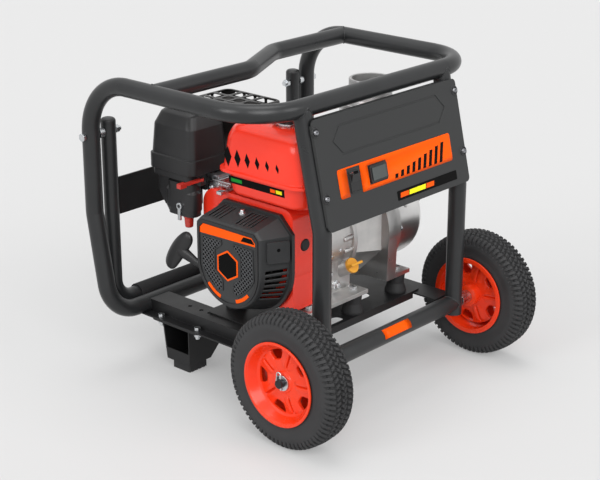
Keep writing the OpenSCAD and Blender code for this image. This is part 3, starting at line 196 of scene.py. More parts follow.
def makeTurned(name, tones, rough, centre, axis, pitch, height, bands):
    # turned metal: noise over the distance from the turning axis gives fine rings;
    # patches as broad as bands shift the tone a little
    finish = makeFinish(name, tones, rough, bands, 3, 0.02, bareMetal)
    tree = finish.node_tree
    gloss = tree.nodes["Principled BSDF"]
    place = addNode(tree, "ShaderNodeTexCoord").outputs["Object"]
    flat = [1.0, 1.0, 1.0]
    flat[axis] = 0.0
    moved = addNode(tree, "ShaderNodeMapping", {
        "Vector": place, "Location": [-c * f for c, f in zip(toRow(centre), flat)], "Scale": flat})
    away = addNode(tree, "ShaderNodeVectorMath", {0: moved.outputs[0]}, operation="LENGTH")
    rings = addNode(tree, "ShaderNodeTexNoise", {"W": away.outputs["Value"], "Scale": 1000 / pitch},
                    noise_dimensions="1D")
    lift = addNode(tree, "ShaderNodeBump", {"Height": rings.outputs[0], "Distance": height / 1000})
    tree.links.new(lift.outputs[0], gloss.inputs["Normal"])
    return finish


pumpAxis = (0, 192, 285)
# turned aluminium of the pump: bright, with rings too fine for the picture, drawn at 2.5 mm
turnedPlate = makeTurned("turnedAluminiumPlate", ("#d2d1d0", "#dedddc"), (0.26, 0.34), pumpAxis, 0, 2.5,
                         0.01, 60)
polishedDrum = makeTurned("polishedAluminiumDrum", ("#d6d5d4", "#e2e1e0"), (0.3, 0.37), pumpAxis, 0, 2.5,
                          0.004, 80)
# machined port alloy: pale, with a dull even shine
portAlloy = makeFinish("machinedPortAlloy", ("#b4b4b4", "#c6c5c4"), (0.36, 0.46), 20, 3, 0.03, bareMetal)

finishes = [
    (charcoalPowder, "main_hoop cross_tube upright_left upright_right axle_tube handle_tube"),
    (blackPowder, "base_rail_left base_rail_right engine_bed leg_brackets handle_plate"),
    (panelPlastic, "control_panel"),
    (blackPlastic, "rocker_switch hour_meter handle_caps recoil_reel starter_grip air_cleaner_base "
                   "air_cleaner_cover fuel_cap priming_plug"),
    (greyPlastic, "recoil_cover"),
    (coralEnamel, "fan_shroud fuel_tank"),
    (orangeEnamel, "rim_left rim_right"),
    (redNylon, "choke_lever"),
    (yellowNylon, "oil_dipstick"),
    (tyreRubber, "tyre_left tyre_right"),
    (softRubber, "rubber_feet engine_mounts shaft_seal check_valve"),
    (gripFoam, "handle_grip"),
    (brightZinc, "wheel_retainers base_bolts handle_pivots pump_bolts "
                 "fuel_valve_lever throttle_lever"),
    (castAlloy, "crankcase cylinder_head pump_bell"),
    (dieCast, "carburettor"),
    (greyIron, "volute_insert impeller flywheel"),
    (dullSteel, "crankshaft hub_bush_left hub_bush_right panel_screws"),
    (blackedSteel, "axle_shaft"),
    (exhaustBlack, "muffler"),
    (guardBlack, "muffler_guard"),
    (turnedPlate, "pump_backplate"),
    (polishedDrum, "pump_casing"),
    (portAlloy, "suction_flange discharge_flange"),
]
for finish, names in finishes:
    for name in names.split():
        nodes[name].data.materials.clear()
        nodes[name].data.materials.append(finish)
print("finishes on", sum(len(names.split()) for finish, names in finishes), "nodes")


# new pieces

def unit(lines):
    # every line scaled to length 1
    return lines / np.linalg.norm(lines, axis=-1, keepdims=True)


def fullTurn(count):
    # equal steps once round
    return np.linspace(0, 2 * np.pi, count, endpoint=False)


def onCircle(turns):
    # points of the unit circle
    return np.stack([np.cos(turns), np.sin(turns)], -1)


def filletPath(corners, steps=8):
    # straight runs between corners (a, b, radius); each corner is rounded by a quadratic arc
    # that starts and ends where a circle of that radius would touch
    given = np.asarray(corners, float)
    spots, radius = given[:, :-1], given[:, -1]
    run = [spots[:1]]
    s = np.linspace(0, 1, steps)[:, None]
    for i in range(1, len(spots) - 1):
        back, ahead = unit(spots[i - 1] - spots[i]), unit(spots[i + 1] - spots[i])
        half = np.arccos(np.clip(back @ ahead, -1, 1)) / 2
        reach = radius[i] / np.tan(half) if radius[i] else 0
        if reach:
            run.append((1 - s) ** 2 * (spots[i] + back * reach) + 2 * s * (1 - s) * spots[i]
                       + s ** 2 * (spots[i] + ahead * reach))
        else:
            run.append(spots[i:i + 1])
    return np.concatenate(run + [spots[-1:]])


def gridCells(rows, columns, wrapRows=False, wrapColumns=False):
    # corner numbers of every cell of a grid; a wrapped direction joins its last line to its first
    index = np.arange(rows * columns).reshape(rows, columns)
    i = np.arange(rows if wrapRows else rows - 1)
    j = np.arange(columns if wrapColumns else columns - 1)
    nextI, nextJ = (i + 1) % rows, (j + 1) % columns
    return np.stack([index[np.ix_(i, j)], index[np.ix_(nextI, j)], index[np.ix_(nextI, nextJ)],
                     index[np.ix_(i, nextJ)]], -1)


weldReach = 0.00002  # metres


def addPiece(name, points, faces, finish, body, slot, replaced=(), sharp=40, weld=False):
    # points in millimetres of the drawing; faces are turned outwards and shaded smooth up to a corner angle;
    # weld joins patches that share an edge
    mesh = bpy.data.meshes.new(name)
    mesh.from_pydata(toRow(points).reshape(-1, 3).tolist(), [], faces)
    work = bmesh.new()
    work.from_mesh(mesh)
    if weld:
        bmesh.ops.remove_doubles(work, verts=work.verts, dist=weldReach)
    bmesh.ops.recalc_face_normals(work, faces=work.faces)
    work.to_mesh(mesh)
    work.free()
    mesh.shade_smooth()
    mesh.set_sharp_from_angle(angle=np.radians(sharp))
    mesh.materials.append(finish)
    piece = bpy.data.objects.new(name, mesh)
    bpy.context.scene.collection.objects.link(piece)
    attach(piece, body)
    if replaced:
        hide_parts(*replaced)
    return piece


# whether the rows and the columns of a grid close on themselves
closed, openEnds, openSheet = (True, True), (False, True), (False, False)


def addGrid(name, grid, wraps, *rest, **more):
    # every cell of a grid of points
    return addPiece(name, grid, gridCells(*grid.shape[:2], *wraps).reshape(-1, 4).tolist(), *rest, **more)


def addTube(name, rings, *rest, **more):
    # a tube of rings: rows run along it, columns round it, and both ends are closed
    rows, columns = rings.shape[:2]
    cells = gridCells(rows, columns, *openEnds).reshape(-1, 4).tolist()
    ends = [list(range(columns)), list(range((rows - 1) * columns, rows * columns))]
    return addPiece(name, rings, cells + ends, *rest, **more)


def addSlab(name, layers, finish, slot):
    # front and back outline of equal counts, with side faces between
    count = len(layers[0])
    side = np.arange(count)
    ring = np.stack([side, (side + 1) % count, (side + 1) % count + count, side + count], -1).tolist()
    flat = [list(range(count)), list(range(count, 2 * count))]
    return addPiece(name, np.concatenate(layers), flat + ring, finish, "frame", slot)


def addWall(piece, thick, offset=0):
    # gives a sheet its thickness; offset 0 puts half of it on each side, -1 all of it inside
    wall = piece.modifiers.new("wall", "SOLIDIFY")
    wall.thickness = thick / 1000
    wall.offset = offset


cornerPoints = 14


def softLoop(halfX, halfY, radius, count=cornerPoints):
    # rectangle with quarter circles at its corners; halves and radius may be columns, one row each
    t = np.linspace(0, np.pi / 2, count)
    turns = np.concatenate([t, t + np.pi / 2, t + np.pi, t + 3 * np.pi / 2])
    signX = np.repeat([1, -1, -1, 1], count)
    signY = np.repeat([1, 1, -1, -1], count)
    return np.stack([(halfX - radius) * signX + radius * np.cos(turns),
                     (halfY - radius) * signY + radius * np.sin(turns)], -1)


def softCorners(x0, x1, y0, y1, radius, count=7):
    # the same loop between given limits
    return softLoop((x1 - x0) / 2, (y1 - y0) / 2, radius, count) + [(x0 + x1) / 2, (y0 + y1) / 2]


def stackLoops(shape, steps=9):
    # rounded rectangles stacked along a profile of (inset, height, fillet)
    path = filletPath(shape["profile"], steps)
    inset, level = path[:, :1], path[:, 1:]
    halfX, halfY = shape["half"][0] - inset, shape["half"][1] - inset
    loops = softLoop(halfX, halfY, np.minimum(shape["corner"], np.minimum(halfX, halfY))) + shape["centre"]
    return np.dstack([loops, np.broadcast_to(level, loops.shape[:2])])


# fuel tank: two pressed halves with a narrow rolled rim between them
tankShape = {
    "centre": (-136, 146),
    "half": (84, 114),
    "corner": 34,
    "profile": [(66, 408, 0), (18, 408, 10), (14, 440, 10), (13.2, 453.6, 1.2), (0.2, 454.2, 0.8),
                (0.2, 459.8, 0.8), (5.5, 460.6, 2), (12, 521, 60), (20, 540, 16),
                (44, 547, 30), (78, 548, 0)],
}
tankPath = filletPath(tankShape["profile"], 9)
addTube("fuelTankShell", stackLoops(tankShape), coralEnamel, "frame", "red_paint", ["fuel_tank"], sharp=50)


def tankFilm(name, corners, lift, finish):
    # an outline (y, z) laid on the starter side of the tank, following its draft
    spots = np.asarray(corners, float)
    inward = np.interp(spots[:, 1], tankPath[:, 1], tankPath[:, 0])
    flat = tankShape["centre"][0] - tankShape["half"][0] + inward
    addSlab(name, [np.column_stack([flat - off, spots]) for off in lift], finish, "red_paint")


def boxCorners(y0, y1, z0, z1):
    # four corners of an upright rectangle
    return [(y0, z0), (y0, z1), (y1, z1), (y1, z0)]


# generic print: a row of black lozenges that shrink towards the panel, and a plain strip with colour blocks
lozengeShape = {"from": 226, "step": 25, "count": 6, "middle": 485, "half": (9.5, 19), "shrink": 0.84,
                "lean": 3, "lift": (0.05, 0.45)}
for i in range(lozengeShape["count"]):
    spot = np.array([lozengeShape["from"] - i * lozengeShape["step"], lozengeShape["middle"]])
    wide, tall = np.array(lozengeShape["half"]) * lozengeShape["shrink"] ** i
    lean = lozengeShape["lean"]
    tankFilm(f"tankLozenge{i}", spot + [(wide, 0), (lean, tall), (-wide, 0), (-lean, -tall)],
             lozengeShape["lift"], blackPrintAndShadeFilm)
tankPrint = {"strip": (230, 89, 431, 446), "stripLift": (0.05, 0.4), "blockUp": (435, 442),
             "blockLift": (0.4, 0.7),
             "blocks": [(224, 196, greenFilm), (124, 112, orangeFilm), (110, 95, yellowFilm)]}
tankFilm("tankStrip", boxCorners(*tankPrint["strip"]), tankPrint["stripLift"], blackPrintAndShadeFilm)
for i, (y0, y1, film) in enumerate(tankPrint["blocks"]):
    tankFilm(f"tankBlock{i}", boxCorners(y0, y1, *tankPrint["blockUp"]), tankPrint["blockLift"], film)


def revolve(profile, count, place):
    # a profile (radius, height) turned once round its axis; place puts the three coordinates
    # where they belong
    t = fullTurn(count)
    profile = np.asarray(profile, float)
    return place(profile[:, :1] * np.cos(t), profile[:, :1] * np.sin(t),
                 np.broadcast_to(profile[:, 1:2], (len(profile), count)))


def standing(at, facing):
    # two cross axes and the turning axis, placed at a point and facing up, to the panel end, right or left
    axes = {"up": ((1, 0, 0), (0, 1, 0), (0, 0, 1)), "panel": ((1, 0, 0), (0, 0, 1), (0, -1, 0)),
            "right": ((0, 1, 0), (0, 0, 1), (1, 0, 0)), "left": ((0, 1, 0), (0, 0, 1), (-1, 0, 0))}[facing]
    return lambda a, b, c: np.array(at) + np.stack([a, b, c], -1) @ np.array(axes, float)


neckShape = {"at": (-136, 140, 547.5), "around": 64,
             "profile": [(17, 0, 0), (26, 0, 0), (26, 5, 1), (18.5, 5, 1), (18.5, -6, 0)]}
neck = revolve(filletPath(neckShape["profile"], 4), neckShape["around"], standing(neckShape["at"], "up"))
addGrid("fillerNeck", neck, openEnds, brightZinc, "frame", "zinc")
print("tank made")

# air cleaner: a band over the base, a drafted hood with a soft crown, and a skirt round the control box below
cleanerShape = {
    "centre": (-166, 377.5),
    "half": (54, 62.5),
    "corner": 16,
    "profile": [(40, 424, 0), (0.3, 424, 1.5), (0.3, 453, 1.2), (3.4, 454.4, 1), (3.2, 457, 1), (7, 512, 8),
                (17, 536, 9), (30, 544, 12), (50, 545, 0)],
}
crownShape = {"centre": (-170, 377.5), "half": (22, 29), "corner": 22,
              "profile": [(14, 543, 0), (0, 543, 0), (1.2, 547.4, 1.5), (14, 547.8, 0)]}
skirtShape = {"centre": (-196.6, 363), "half": (17.1, 41), "corner": 15,
              "profile": [(12, 335.5, 0), (5, 336.5, 3), (0, 351, 6), (0, 385, 3), (3.5, 391, 2),
                          (3.5, 400, 0)]}
addTube("airCleanerHood", stackLoops(cleanerShape), blackPlastic, "frame", "black_plastic",
        ["air_cleaner_cover"], sharp=35)
addTube("airCleanerCrown", stackLoops(crownShape), blackPlastic, "frame", "black_plastic")
addTube("controlBoxSkirt", stackLoops(skirtShape, 5), blackPlastic, "frame", "black_plastic", sharp=35)
print("air cleaner made")

# muffler guard: a sheet basket with openings in its top and windows under the bend, so that a thin rim
# is left
guardShape = {
    "centre": (-38, 380), "half": (61.2, 76.2), "corner": 16, "top": 531.2, "low": 440, "bend": 3,
    "thick": 1.6, "columns": [-58.2, -15, 15, 58.2], "rows": [-73.2, -30, 0, 30, 73.2], "bar": 4.2, "soft": 6,
    "window": (516.5, 528.2), "post": 3.2, "edge": 1.8, "windowSoft": 2.5, "panes": (3, 4),
}


def openTile(middle, half, hole, soft, rounded=None):
    # a rectangle round a soft-cornered hole, as two loops of equal count; one outer corner may be round
    outer = softLoop(*half, 0)
    if rounded is not None:
        corner = slice(cornerPoints * rounded, cornerPoints * (rounded + 1))
        outer[corner] = softLoop(*half, guardShape["corner"])[corner]
    return np.stack([outer, softLoop(*hole, soft)]) + np.asarray(middle)


def guardSheets(shape):
    # patches of the basket: tiles of the top, tiles of the four walls, then the bend, corner posts and
    # lower band
    columns, rows = np.array(shape["columns"], float), np.array(shape["rows"], float)
    corners = {(2, 3): 0, (0, 3): 1, (0, 0): 2, (2, 0): 3}  # tiles with a round outer corner
    patches = []
    for i in range(len(columns) - 1):
        for j in range(len(rows) - 1):
            middle = np.array([columns[i] + columns[i + 1], rows[j] + rows[j + 1]]) / 2
            half = np.array([columns[i + 1] - columns[i], rows[j + 1] - rows[j]]) / 2
            tile = openTile(middle, half, half - shape["bar"], shape["soft"], corners.get((i, j)))
            patches.append(np.dstack([tile + shape["centre"], np.full(tile.shape[:2], shape["top"])]))
    halfX, halfY = shape["half"]
    low, high = shape["window"]
    for across, along, count in ((halfX, halfY, shape["panes"][1]), (halfY, halfX, shape["panes"][0])):
        step = 2 * (along - shape["corner"]) / count
        half = np.array([step, high - low]) / 2
        for k in range(count):
            spot = (shape["corner"] - along + step * (k + 0.5), (low + high) / 2)
            tile = openTile(spot, half, half - (shape["post"], shape["edge"]), shape["windowSoft"])
            for side in (-1, 1):
                flat = [np.full(tile.shape[:2], side * across), tile[..., 0]]
                flat = np.stack(flat if across == halfX else flat[::-1], -1)
                patches.append(np.dstack([flat + shape["centre"], tile[..., 1]]))
    faces = [gridCells(*p.shape[:2], *openEnds).reshape(-1, 4) for p in patches]
    for profile in ([(shape["bend"], shape["top"], 0), (0, shape["top"], shape["bend"]), (0, high, 0)],
                    [(0, high, 0), (0, low, 0)], [(0, low, 0), (0, shape["low"], 0)]):
        band = stackLoops({**shape, "profile": profile}, 5)
        cells = gridCells(*band.shape[:2], *openEnds)
        if profile[0][1] == high:  # beside the windows only the corner posts stay
            cells = cells[:, np.arange(band.shape[1]) % cornerPoints != cornerPoints - 1]
        patches.append(band)
        faces.append(cells.reshape(-1, 4))
    first = np.cumsum([0] + [p.shape[0] * p.shape[1] for p in patches])
    return (np.concatenate([p.reshape(-1, 3) for p in patches]),
            np.concatenate([f + start for f, start in zip(faces, first)]).tolist())


basket = addPiece("mufflerGuardBasket", *guardSheets(guardShape), guardBlack, "frame", "black_paint",
                  ["muffler_guard"], weld=True)
addWall(basket, guardShape["thick"])
print("muffler guard made")

# starter cover: outlines of its mouth and its face, half round below and chamfered above, joined along
# straight lines; the corner to the face is rounded, and the slots are cells left out
coverShape = {
    "mouth": {"centre": (190, 282), "radius": 100, "top": 101, "chamfer": 30},
    "face": {"centre": (203, 279), "radius": 83, "top": 83, "chamfer": 12},
    "profile": [(0, -180, 0), (0, -185, 0), (20, -240, 7), (29, -240, 0)],
    "facePlane": -240,
    "slant": 20,
    "lowCount": 150,
    "runCounts": (36, 16, 146, 16, 36),
    "fine": (-185, -232, 48),
    "roundFrom": -232.5,
    "topSlots": (142, 151, 160, 169, 178, 222, 231, 240, 249),
    "topHalf": 2,
    "topAbove": 380,
    "sideSlots": (223, 235, 247, 259, 271, 283),
    "sideHalf": 3,
    "sideBefore": 135,
    "slotFrom": -231,
    "slotTo": -193,
    "wall": 2.6,
}


def coverLoop(centre, radius, top, chamfer):
    # lower half circle, then side, chamfer, top, chamfer and side as straight runs of fixed counts
    low = onCircle(np.linspace(np.pi, 2 * np.pi, coverShape["lowCount"])) * radius
    high, flat = top - chamfer, radius - chamfer
    right = [(radius, 0), (radius, high), (flat, top)]
    corners = np.array(right + [(-y, z) for y, z in right[::-1]])
    runs = [a + (b - a) * np.linspace(0, 1, n, endpoint=False)[:, None]
            for a, b, n in zip(corners[:-1], corners[1:], coverShape["runCounts"])]
    return np.concatenate([low[:-1]] + runs) + centre


mouth, face = coverLoop(**coverShape["mouth"]), coverLoop(**coverShape["face"])
slide = filletPath(coverShape["profile"], 8)
finer = np.linspace(*coverShape["fine"])
slide = np.concatenate([slide[:2], np.stack([np.interp(-finer, -slide[:, 1], slide[:, 0]), finer], -1)[1:],
                        slide[slide[:, 1] < coverShape["roundFrom"]]])
reach = np.clip(slide[:, 0] / coverShape["slant"], 0, 1)[:, None, None]
shrink = 1 - np.clip(slide[:, 0] - coverShape["slant"], 0, None)[:, None, None] / coverShape["face"]["radius"]
faceCentre = np.array(coverShape["face"]["centre"])
rings = faceCentre + (mouth + (face - mouth) * reach - faceCentre) * shrink
coverGrid = np.dstack([np.broadcast_to(slide[:, 1:], rings.shape[:2]), rings])
cells = gridCells(*coverGrid.shape[:2], *openEnds)
keep = np.ones(cells.shape[:2], bool)
midMouth = (mouth + np.roll(mouth, -1, 0)) / 2
midSlide = (slide[:-1, 1] + slide[1:, 1]) / 2
inSlot = (midSlide > coverShape["slotFrom"]) & (midSlide < coverShape["slotTo"])
onTop = np.any([np.abs(midMouth[:, 0] - y) < coverShape["topHalf"] for y in coverShape["topSlots"]], 0)
onSide = np.any([np.abs(midMouth[:, 1] - z - coverShape["sideHalf"]) < coverShape["sideHalf"]
                 for z in coverShape["sideSlots"]], 0)
keep[np.ix_(inSlot, onTop & (midMouth[:, 1] > coverShape["topAbove"])
            | onSide & (midMouth[:, 0] < coverShape["sideBefore"]))] = False
count = coverGrid.shape[1]
last = (coverGrid.shape[0] - 1) * count
cover = addPiece("starterShell", coverGrid, cells[keep].tolist() + [list(range(last, last + count))],
                 greyPlastic, "frame", "grey_plastic", ["recoil_cover"], sharp=30)
addWall(cover, coverShape["wall"], -1)


def ringSlab(name, outer, inner, near, far, finish):
    # two outlines (y, z) of equal counts, filled between, and drawn out along x from near to far
    stack = [np.column_stack([np.full(len(loop), float(x)), loop])
             for loop, x in [(outer, near), (outer, far), (inner, far), (inner, near)]]
    addGrid(name, np.stack(stack), closed, finish, "frame", "grey_plastic")


# flange round the mouth, raised border round the face, and a lug on the panel side whose hole is not cut but
# painted as a black disc of shade
coverRims = {"flange": (4, -3), "chamfer": 0.58, "depth": (-181, -189), "border": (0.955, 0.885),
             "raised": (-239, -242)}
centre, *sizes = coverShape["mouth"].values()
grown = [coverLoop(centre, *(np.array(sizes) + off * np.array([1, 1, coverRims["chamfer"]])))
         for off in coverRims["flange"]]
ringSlab("starterFlange", *grown, *coverRims["depth"], blackPlastic)
ringSlab("starterBorder", *[faceCentre + (face - faceCentre) * share for share in coverRims["border"]],
         *coverRims["raised"], blackPlastic)
lugShape = {"from": (-185, 90), "to": (-240, 120), "along": (6, 50), "z": (304, 346), "corner": 5,
            "raised": (-2, 7), "hole": (28, 330), "holeShadeRadius": 3.4, "holeShadeLift": (7, 7.2)}
slope = unit(np.subtract(lugShape["to"], lugShape["from"]))


def sideSlab(name, outline, lift, finish):
    # an outline (along the slope, z) on the flat side of the cover, raised from low to high
    flat = np.array(lugShape["from"]) + outline[:, :1] * slope
    outwards = np.array([-slope[1], slope[0]])
    layers = [np.column_stack([flat + off * outwards, outline[:, 1:]]) for off in lift]
    addSlab(name, layers, finish, "grey_plastic")


sideSlab("starterLug", softCorners(*lugShape["along"], *lugShape["z"], lugShape["corner"]),
         lugShape["raised"], greyPlastic)
# the lug's hole is painted shade: a black disc just above the lug's face
sideSlab("starterLugPaintedHoleShade", np.array(lugShape["hole"]) + lugShape["holeShadeRadius"] * onCircle(fullTurn(24)),
         lugShape["holeShadeLift"], blackPrintAndShadeFilm)


def plateSlab(name, corners, near, far, finish, slot):
    # an outline (y, z) drawn out along x from near to far
    spots = np.asarray(corners, float)
    layers = [np.column_stack([np.full(len(spots), float(x)), spots]) for x in (near, far)]
    addSlab(name, layers, finish, slot)


def faceSlab(name, corners, lift, finish):
    # the same on the face of the starter cover, raised from low to high
    plateSlab(name, corners, *[coverShape["facePlane"] - off for off in lift], finish, "grey_plastic")


# generic trim: orange band with a dark end, plain six-sided badge, two arcs along the lower edge,
# two grille fields
trimShape = {
    "band": [(275.5, 331), (203, 333), (130.5, 335), (130.5, 341.5), (139.5, 350.5), (266.5, 350.5),
             (275.5, 341.5)],
    "bandEnd": [(168, 338), (133.5, 339), (133.5, 341.5), (141, 348), (160, 348)],
    "badgeCentre": (203, 280), "badgeSize": 31, "badgeField": 27,
    "arcs": [(-139, -107), (-73, -41)], "arcRadius": (72.5, 65.5),
    "bandLift": (-0.1, 0.6), "endLift": (0.6, 0.9), "badgeLift": (-0.1, 0.9), "fieldLift": (0.9, 1.1),
}
faceSlab("starterBand", trimShape["band"], trimShape["bandLift"], orangeFilm)
faceSlab("starterBandEnd", trimShape["bandEnd"], trimShape["endLift"], blackPrintAndShadeFilm)
sixSided = onCircle(np.radians(np.arange(6) * 60 + 90))
for name, size, lift, film in [("starterBadge", "badgeSize", "badgeLift", orangeFilm),
                               ("starterBadgeField", "badgeField", "fieldLift", blackPrintAndShadeFilm)]:
    faceSlab(name, trimShape["badgeCentre"] + sixSided * trimShape[size], trimShape[lift], film)
for i, (start, stop) in enumerate(trimShape["arcs"]):
    arcLine = onCircle(np.radians(np.linspace(start, stop, 24)))
    far, near = trimShape["arcRadius"]
    faceSlab(f"starterArc{i}", np.concatenate([arcLine * far, arcLine[::-1] * near]) + faceCentre,
             trimShape["bandLift"], orangeFilm)
grilleShape = {
    "outline": [(65, 47), (68, -12), (61, -24), (49, -37), (26, -55), (14, -51), (14, -32), (34, -14),
                (34, 26), (16, 40), (16, 48)],
    "pitch": 6.4, "hole": 4.4, "bars": 16, "frame": 1.3, "frameDepth": (-239.9, -241.6), "thick": 1.2,
    "shadeSheetLift": (-0.1, 0.06),
}


def offsetLoop(outline, off):
    # every corner moves along the sum of its two edges' normals, so that each edge shifts by the same amount
    edge = np.roll(outline, -1, 0) - outline
    normal = unit(np.stack([edge[:, 1], -edge[:, 0]], -1))
    both = normal + np.roll(normal, 1, 0)
    return outline + off * 2 * both / np.sum(both ** 2, -1)[:, None]


def insideLoop(points, outline):
    # even-odd rule: how many edges a line to the right crosses
    y, z = points[..., None, 0], points[..., None, 1]
    ahead = np.roll(outline, -1, 0)
    crosses = (outline[:, 1] > z) != (ahead[:, 1] > z)
    run, rise = (ahead - outline).T
    at = outline[:, 0] + (z - outline[:, 1]) / (rise + 1e-9) * run
    return np.sum(crosses & (y < at), -1) % 2 == 1


def latticeSheet(name, outline, shape, finish):
    # grid lines run along both edges of crossing bars set at 45 degrees; cells between bars, or outside the
    # outline, are left out, and unused points with them
    bars = np.arange(-shape["bars"], shape["bars"] + 1)
    lines = (bars[:, None] * shape["pitch"] + np.array([-0.5, 0.5]) * shape["hole"]).ravel()
    u, v = np.meshgrid(lines, lines, indexing="ij")
    spots = np.stack([u - v, u + v], -1) / np.sqrt(2)
    mids = (spots[:-1, :-1] + spots[1:, 1:]) / 2
    odd = np.arange(len(lines) - 1) % 2 == 1
    cells = gridCells(*u.shape)[(odd[:, None] | odd) & insideLoop(mids, outline)]
    used, faces = np.unique(cells, return_inverse=True)
    flat = spots.reshape(-1, 2)[used] + faceCentre
    points = np.column_stack([np.full(len(flat), coverShape["facePlane"] - shape["thick"] / 2), flat])
    sheet = addPiece(name, points, faces.reshape(-1, 4).tolist(), finish, "frame", "grey_plastic")
    addWall(sheet, shape["thick"])


for i, side in enumerate((1, -1)):
    field = np.array(grilleShape["outline"], float) * (side, 1)
    # a black sheet behind each lattice is painted shade, standing in for the dark inside of the cover seen
    # through the holes
    faceSlab(f"starterGrillePaintedShade{i}", field + faceCentre, grilleShape["shadeSheetLift"], blackPrintAndShadeFilm)
    latticeSheet(f"starterGrille{i}", field, grilleShape, grilleGrey)
    ringSlab(f"starterGrilleFrame{i}", offsetLoop(field, grilleShape["frame"]) + faceCentre,
             offsetLoop(field, -grilleShape["frame"]) + faceCentre, *grilleShape["frameDepth"], greyPlastic)
print("starter cover made")

# starter grip: an oval bar swept along a slightly bent line, with a tapering stem
gripShape = {"line": [(331, 303), (369, 270), (396, 220)], "middle": -212, "thick": 13, "swell": 5.5,
             "flat": 0.52}
stemShape = {"line": [(270, 247, 0), (306, 247, 30), (362, 266, 0)], "flat": 0.7,
             "radius": ([270, 298, 304, 335, 362], [4, 4, 7, 8, 14])}


def sweep(line, radius, flat, columns=28):
    # rings across a line in the y-z plane; radius per ring, flattened across the plane
    ahead = unit(np.gradient(line, axis=0))
    t = fullTurn(columns)
    acrossY, acrossZ = -ahead[:, 1:2], ahead[:, :1]
    wide = radius[:, None] * np.cos(t)
    return np.stack([gripShape["middle"] + flat * radius[:, None] * np.sin(t),
                     line[:, :1] + acrossY * wide, line[:, 1:2] + acrossZ * wide], -1)


s = np.linspace(0, 1, 41)[:, None]
ends = np.array(gripShape["line"], float)
bar = (1 - s) ** 2 * ends[0] + 2 * s * (1 - s) * ends[1] + s ** 2 * ends[2]
along = 2 * s[:, 0] - 1
# the bar swells in the middle and closes steeply at both ends
barRadius = gripShape["thick"] + gripShape["swell"] * (1 - along ** 2)
barRadius = barRadius * np.sqrt(1.0001 - np.abs(along) ** 9)
addTube("starterGripBar", sweep(bar, barRadius, gripShape["flat"]), blackPlastic, "starter", "black_plastic",
        ["starter_grip"], sharp=60)
stemLine = filletPath(stemShape["line"], 9)
stemRadius = np.interp(stemLine[:, 0], *stemShape["radius"])
addTube("starterGripStem", sweep(stemLine, stemRadius, stemShape["flat"]), blackPlastic, "starter",
        "black_plastic", sharp=60)
print("starter grip made")

# small turned parts on the engine: bolts on the starter cover and the crankcase, a drain plug, bosses
# at the bell, a blanking plug in the shroud and the fuel filter under the tap
boltShape = {"around": 24, "cover": (-203, 199, 377), "drain": (-34, 112, 205), "drainScale": 1.4,
             "crankcase": [(-52, 112, 268), (-26, 112, 276), (-52, 112, 232)],
             "profile": [(0.1, 6.5, 0), (4.2, 6.5, 1), (4.6, 2, 0.3), (7, 1.8, 0.3), (7, -3, 0),
                         (0.1, -3, 0)]}
bossShape = {"around": 28, "at": [(4, 110, 270), (2, 110, 295)],
             "profile": [(0.1, -20, 0), (6.5, -20, 2), (6.5, 6, 0.8), (5, 6.4, 0.5), (5, 14, 1.2),
                         (0.1, 14, 0)]}
plugShape = {"around": 40, "at": (-146.5, 92, 324),
             "profile": [(0.1, 3, 0), (10, 3, 1.5), (12, 0.5, 0.4), (12, -3, 0), (0.1, -3, 0)]}
filterShape = {"around": 36, "at": (-203, 344, 337),
               "profile": [(0.1, -22, 0), (8, -22, 3), (9.5, -2, 1), (11, -1, 0.5), (11, 3, 0), (0.1, 3, 0)]}


def addTurned(name, shape, at, facing, finish, slot, scale=1):
    # a profile turned about an axis through a point
    turned = revolve(filletPath(shape["profile"], 4) * scale, shape["around"], standing(at, facing))
    addTube(name, turned, finish, "frame", slot)


addTurned("coverBolt", boltShape, boltShape["cover"], "up", brightZinc, "zinc")
for i, at in enumerate(boltShape["crankcase"]):
    addTurned(f"crankcaseBolt{i}", boltShape, at, "panel", brightZinc, "zinc")
addTurned("drainPlug", boltShape, boltShape["drain"], "panel", brightZinc, "zinc", boltShape["drainScale"])
for i, at in enumerate(bossShape["at"]):
    addTurned(f"bellBoss{i}", bossShape, at, "right", castAlloy, "cast_alloy")
addTurned("shroudPlug", plugShape, plugShape["at"], "panel", softRubber, "rubber")
addTurned("fuelFilterCup", filterShape, filterShape["at"], "up", filterRed, "red_plastic")

# carburettor linkage: a plate with two screws, a coil spring and a rod, all standing still
linkShape = {
    "plate": (286, 322, 388, 409), "plateCorner": 6, "plateDepth": (-168.5, -171),
    "screws": [(-171, 292, 403), (-171, 315, 394)], "screwScale": (0.8, 0.6), "screwAround": 20,
    "springFrom": (-177, 258, 408.5), "coil": 3.4, "reach": 30, "turns": 9, "wire": 0.75,
    "rod": [(-179, 252, 0), (-179, 300, 6), (-171, 312, 0)], "rodLevel": 416, "rodRadius": 1.5,
}
plateSlab("linkPlate", softCorners(*linkShape["plate"], linkShape["plateCorner"]), *linkShape["plateDepth"],
          brightZinc, "zinc")
screwShape = {**boltShape, "around": linkShape["screwAround"]}
for i, at in enumerate(linkShape["screws"]):
    addTurned(f"linkScrew{i}", screwShape, at, "left", brightZinc, "zinc", linkShape["screwScale"])


def wireAlong(path, thick, columns):
    # rings stand across a path: their axes come from the path's direction and a fixed upright line
    ahead = unit(np.gradient(path, axis=0))
    side = unit(np.cross(ahead, (0.1, 0.2, 1)))
    t = fullTurn(columns)[:, None]
    return path[:, None] + thick * (np.cos(t) * side[:, None] + np.sin(t) * np.cross(ahead, side)[:, None])


